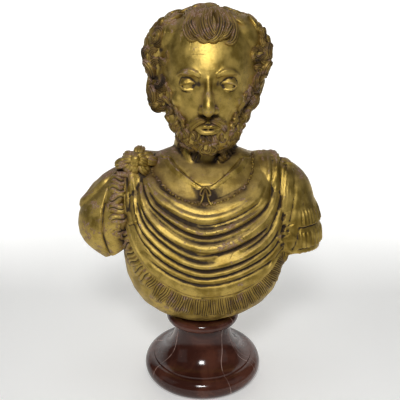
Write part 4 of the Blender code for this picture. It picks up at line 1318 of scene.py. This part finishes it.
class Shelter:
    """How enclosed the points of the bust lie, found with rays cast from its skins."""

    def __init__(self, meshes: Sequence[bpy.types.Mesh]) -> None:
        """Gather the skins into one tree."""
        places, faces = [], []
        for mesh in meshes:
            start = len(places)
            places.extend(v.co[:] for v in mesh.vertices)
            faces.extend([start + k for k in p.vertices] for p in mesh.polygons)
        self.tree = BVHTree.FromPolygons(places, faces)

    def measure(self, at: np.ndarray, normal: np.ndarray, cell: float = 0.0035, reach: float = 0.075,
                rays: int = 20) -> np.ndarray:
        """Cast rays from one point in each small cell.

        Args:
            at: all points.
            normal: their normals.
            cell: the size of a cell, whose points share a result.
            reach: how far a ray goes.
            rays: how many leave each point.

        Returns:
            For each point, 0 in the open up to 1 where every ray meets the bust at once. Faces met from inside
            don't count, as the point is then buried and isn't seen.
        """
        ways = []
        for k in range(rays):
            height = math.sqrt(1 - (k + 0.5) / rays)
            turn = k * math.pi * (3 - math.sqrt(5))
            flat = math.sqrt(1 - height * height)
            ways.append(Vector((flat * math.cos(turn), flat * math.sin(turn), height)))
        keys, first, owner = np.unique(np.floor(at / cell).astype(np.int64), axis=0, return_index=True,
                                       return_inverse=True)
        found = np.zeros(len(keys))
        for i, index in enumerate(first.tolist()):
            up = Vector(normal[index])
            spin = up.to_track_quat("Z", "Y")
            start = Vector(at[index]) + up * 0.0009
            for way in ways:
                ray = spin @ way
                _, face, _, gap = self.tree.ray_cast(start, ray, reach)
                if gap is not None and face.dot(ray) < 0:
                    found[i] += 1 - gap / reach
        return (found / rays)[owner.ravel()]


@dataclass
class Bust:
    """The gilt bust: its skins, dressed and set on the socle."""

    masses: Masses = field(default_factory=Masses)
    gilding: WornGilding = field(default_factory=WornGilding)
    # Painted shade added to each skin's enclosure, most on the hair.
    added_painted_shade: dict[Surface, float] = field(default_factory=lambda: {
        Surface.HEAD: 0.02, Surface.HAIR: 0.18, Surface.CHEST: 0.05})
    fine_rounds: int = 5
    fine_depth: float = 0.00045
    broad_rounds: int = 50
    broad_depth: float = 0.0022

    @staticmethod
    def store(mesh: bpy.types.Mesh, name: str, values: np.ndarray) -> None:
        """Keep a value for each point on the mesh."""
        layer = mesh.attributes.new(name, "FLOAT", "POINT")
        layer.data.foreach_set("value", values.astype(np.float32))

    def weather(self, mesh: bpy.types.Mesh, shelter: Shelter, added_painted_shade: float) -> None:
        """Store how hollow, proud, enclosed and open to the sky each point lies, for the finish, which paints
        shade where points are enclosed.

        Args:
            mesh: the skin.
            shelter: gives how enclosed its points lie.
            added_painted_shade: added to how enclosed every point counts, as painted shade over the whole
                skin.
        """
        count = len(mesh.vertices)
        at, normal = read_rows(mesh, "co"), read_rows(mesh, "normal")
        ends = np.empty(len(mesh.edges) * 2, dtype=np.int64)
        mesh.edges.foreach_get("vertices", ends)
        a, b = ends.reshape(-1, 2).T
        degree = np.bincount(a, minlength=count) + np.bincount(b, minlength=count) + 1.0

        def even_out(values: np.ndarray) -> np.ndarray:
            """The mean of each point's value and its neighbours'."""
            total = values.copy()
            for k in range(values.shape[1]):
                total[:, k] += np.bincount(a, values[b, k], count) + np.bincount(b, values[a, k], count)
            return total / degree[:, None]

        smooth = at
        depth = {}
        for i in range(1, self.broad_rounds + 1):
            smooth = even_out(smooth)
            if i in (self.fine_rounds, self.broad_rounds):
                depth[i] = ((smooth - at) * normal).sum(axis=1)
        fine = depth[self.fine_rounds] / self.fine_depth
        broad = depth[self.broad_rounds] / self.broad_depth
        # Ray-cast enclosure, which the finish paints as shade in recesses and under overhangs.
        shade = shelter.measure(at, normal)[:, None]
        for _ in range(5):
            shade = even_out(shade)
        LOG.info("shade: mean %.2f, 90th %.2f", shade.mean(), np.percentile(shade, 90))
        self.store(mesh, "hollow", np.clip(0.6 * fine + 0.5 * broad, 0, 1))
        self.store(mesh, "crest", np.clip(-0.6 * fine - 0.5 * broad, 0, 1))
        self.store(mesh, "shade", np.clip(shade[:, 0] + added_painted_shade, 0, 1))
        self.store(mesh, "sky", rise(normal[:, 2], 0.35, 0.95))

    def build(self) -> list[bpy.types.Object]:
        """Build and dress the skins."""
        floor = Matrix.Translation((0, 0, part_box("bust")[0].z))
        material = self.gilding.make()
        head = Head(self.masses).build()
        skins = {Surface.HEAD: head, Surface.HAIR: Hair(self.masses, head).build(),
                 Surface.CHEST: Chest(self.masses).build()}
        for mesh in skins.values():
            mesh.transform(floor)
        shelter = Shelter(list(skins.values()))
        made = []
        for part, mesh in skins.items():
            self.weather(mesh, shelter, self.added_painted_shade[part])
            mesh.shade_smooth()
            mesh.materials.clear()
            mesh.materials.append(material)
            piece = put(part.value, mesh)
            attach(piece, "root")
            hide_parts("bust")
            LOG.info("%s: %d faces", part.value, len(mesh.polygons))
            made.append(piece)
        return made


@dataclass
class Socle:
    """The turned marble socle: torus foot, hollow neck and a half-round ring on top."""

    base_radius: float = 0.1175
    base_height: float = 0.0390
    base_bulge: float = 0.0183
    groove_radius: float = 0.0988
    groove_depth: float = 0.0025
    neck_radius: float = 0.0535
    ring_radius: float = 0.0722
    ring_bulge: float = 0.0108
    ring_height: float = 0.0204
    steps: int = 192
    ring_points: int = 20
    neck_points: int = 24
    foot_points: int = 28
    foot_start: float = 76
    foot_turn: float = 166
    lip: float = 0.002
    marble: RedMarble = field(default_factory=RedMarble)

    def profile(self, height: float) -> list[tuple[float, float]]:
        """Radius and height of the turned outline, from the top edge down its outer side."""
        points = []
        middle = height - self.ring_height / 2
        core = self.ring_radius - self.ring_bulge
        for i in range(self.ring_points + 1):
            turn = math.pi / 2 - math.pi * i / self.ring_points
            points.append((core + self.ring_bulge * math.cos(turn),
                           middle + self.ring_height / 2 * math.sin(turn)))
        neck_top = middle - self.ring_height / 2 - self.lip
        sweep = self.groove_radius - self.neck_radius
        drop = neck_top - (self.base_height + self.groove_depth)
        for i in range(self.neck_points + 1):
            turn = math.pi / 2 * i / self.neck_points
            radius = self.neck_radius + sweep * (1 - math.cos(turn))
            points.append((radius, neck_top - drop * math.sin(turn)))
        points.append((self.groove_radius + 0.0003, self.base_height + 0.0003))
        points.append((self.groove_radius + 0.0006, self.base_height - 0.0005))
        core = self.base_radius - self.base_bulge
        for i in range(self.foot_points + 1):
            turn = math.radians(self.foot_start) - math.radians(self.foot_turn) * i / self.foot_points
            radius = core + self.base_bulge * math.cos(turn)
            points.append((radius, self.base_height / 2 * (1 + math.sin(turn))))
        return points

    def build(self) -> bpy.types.Object:
        """Turn the profile and dress it."""
        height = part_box("socle")[1].z
        profile = [(0.0, height), *self.profile(height), (0.0, 0.0)]
        shape = bmesh.new()
        verts = [shape.verts.new((r, 0.0, z)) for r, z in profile]
        edges = [shape.edges.new(pair) for pair in zip(verts, verts[1:])]
        bmesh.ops.spin(shape, geom=verts + edges, cent=(0, 0, 0), axis=(0, 0, 1), angle=2 * math.pi,
                       steps=self.steps, use_merge=True, use_normal_flip=False)
        bmesh.ops.remove_doubles(shape, verts=shape.verts, dist=1e-5)
        bmesh.ops.recalc_face_normals(shape, faces=shape.faces)
        mesh = as_mesh(shape, "turned_socle")
        mesh.shade_smooth()
        mesh.set_sharp_from_angle(angle=math.radians(50))
        mesh.materials.append(self.marble.make())
        piece = put("turned_socle", mesh)
        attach(piece, "root")
        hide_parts("socle")
        LOG.info("turned_socle: %d faces", len(mesh.polygons))
        return piece


# The studio

@dataclass
class Studio:
    """Floor, lights and camera."""

    camera_at: Point = (-0.005, -0.870, 0.613)
    camera_tilt: float = math.radians(16.2)
    focal_pixels: float = 480.0
    picture_pixels: float = 400.0
    sensor: float = 36.0
    world_light: float = 0.060
    floor_front: float = 2.2
    wall_at: float = 1.9
    wall_bend: float = 0.9
    wall_height: float = 2.6
    wall_half: float = 3.2
    bend_steps: int = 16
    look_at: Point = (0, 0, 0.38)
    lamps: tuple[tuple[str, Point, tuple[float, float], float], ...] = (
        ("key", (-0.05, -1.10, 1.15), (0.30, 0.30), 11),
        ("left_side", (-1.5, -0.60, 0.90), (0.9, 1.2), 1.0),
        ("right_side", (1.5, -0.60, 0.90), (0.9, 1.2), 1.0),
        ("top", (0.0, 0.1, 1.9), (0.7, 0.5), 2.5))
    wall_lamp_power: float = 16

    def backdrop(self) -> None:
        """A plain pale floor that bends up into a wall."""
        shape = bmesh.new()
        profile = [(-self.floor_front, 0.0), (self.wall_at - self.wall_bend, 0.0)]
        for k in range(1, self.bend_steps + 1):
            turn = math.pi / 2 * k / self.bend_steps
            profile.append((self.wall_at - self.wall_bend * (1 - math.sin(turn)),
                            self.wall_bend * (1 - math.cos(turn))))
        profile.append((self.wall_at, self.wall_height))
        half = self.wall_half
        rows = [[shape.verts.new((x, y, z)) for x in (-half, half)] for y, z in profile]
        for low, high in zip(rows, rows[1:]):
            shape.faces.new((low[0], low[1], high[1], high[0]))
        mesh = as_mesh(shape, "backdrop")
        mesh.shade_smooth()
        mesh.materials.append(PaleFloor().make())
        plane = put("backdrop", mesh)

    def light(self, name: str, at: Point, size: tuple[float, float], power: float, aim: Point) -> None:
        """A soft light.

        Args:
            name: its name.
            at: where it stands.
            size: its width and height.
            power: its power in watts.
            aim: the point it faces.
        """
        data = bpy.data.lights.new(name, "AREA")
        data.shape = "RECTANGLE"
        data.size, data.size_y = size
        data.energy = power
        lamp = put(name, data)
        lamp.location = at
        lamp.rotation_euler = (Vector(aim) - Vector(at)).to_track_quat("-Z", "Y").to_euler()

    def build(self) -> None:
        """Set up the backdrop, the lights, the world and the camera."""
        self.backdrop()
        for lamp in self.lamps:
            self.light(*lamp, self.look_at)
        for name, side in (("wall_left", -1.0), ("wall_right", 1.0)):
            self.light(name, (side, 0.6, 1.2), (0.8, 0.8), self.wall_lamp_power, (side, self.wall_at, 0.9))
        world = bpy.data.worlds.new("studio")
        world.use_nodes = True
        sky = world.node_tree.nodes["Background"]
        sky.inputs["Color"].default_value = (0.90, 0.90, 0.90, 1.0)
        sky.inputs["Strength"].default_value = self.world_light
        bpy.context.scene.world = world
        bpy.context.scene.view_settings.view_transform = "Standard"
        data = bpy.data.cameras.new("camera")
        data.sensor_width = self.sensor
        data.lens = self.focal_pixels / self.picture_pixels * self.sensor
        camera = put("camera", data)
        camera.location = self.camera_at
        camera.rotation_euler = (math.pi / 2 - self.camera_tilt, 0, 0)
        bpy.context.scene.camera = camera


def main() -> None:
    """Build the socle, the bust and the studio."""
    logging.basicConfig(level=logging.INFO, format="%(name)s: %(message)s")
    Socle().build()
    Bust().build()
    Studio().build()


if __name__ == "__main__":
    main()
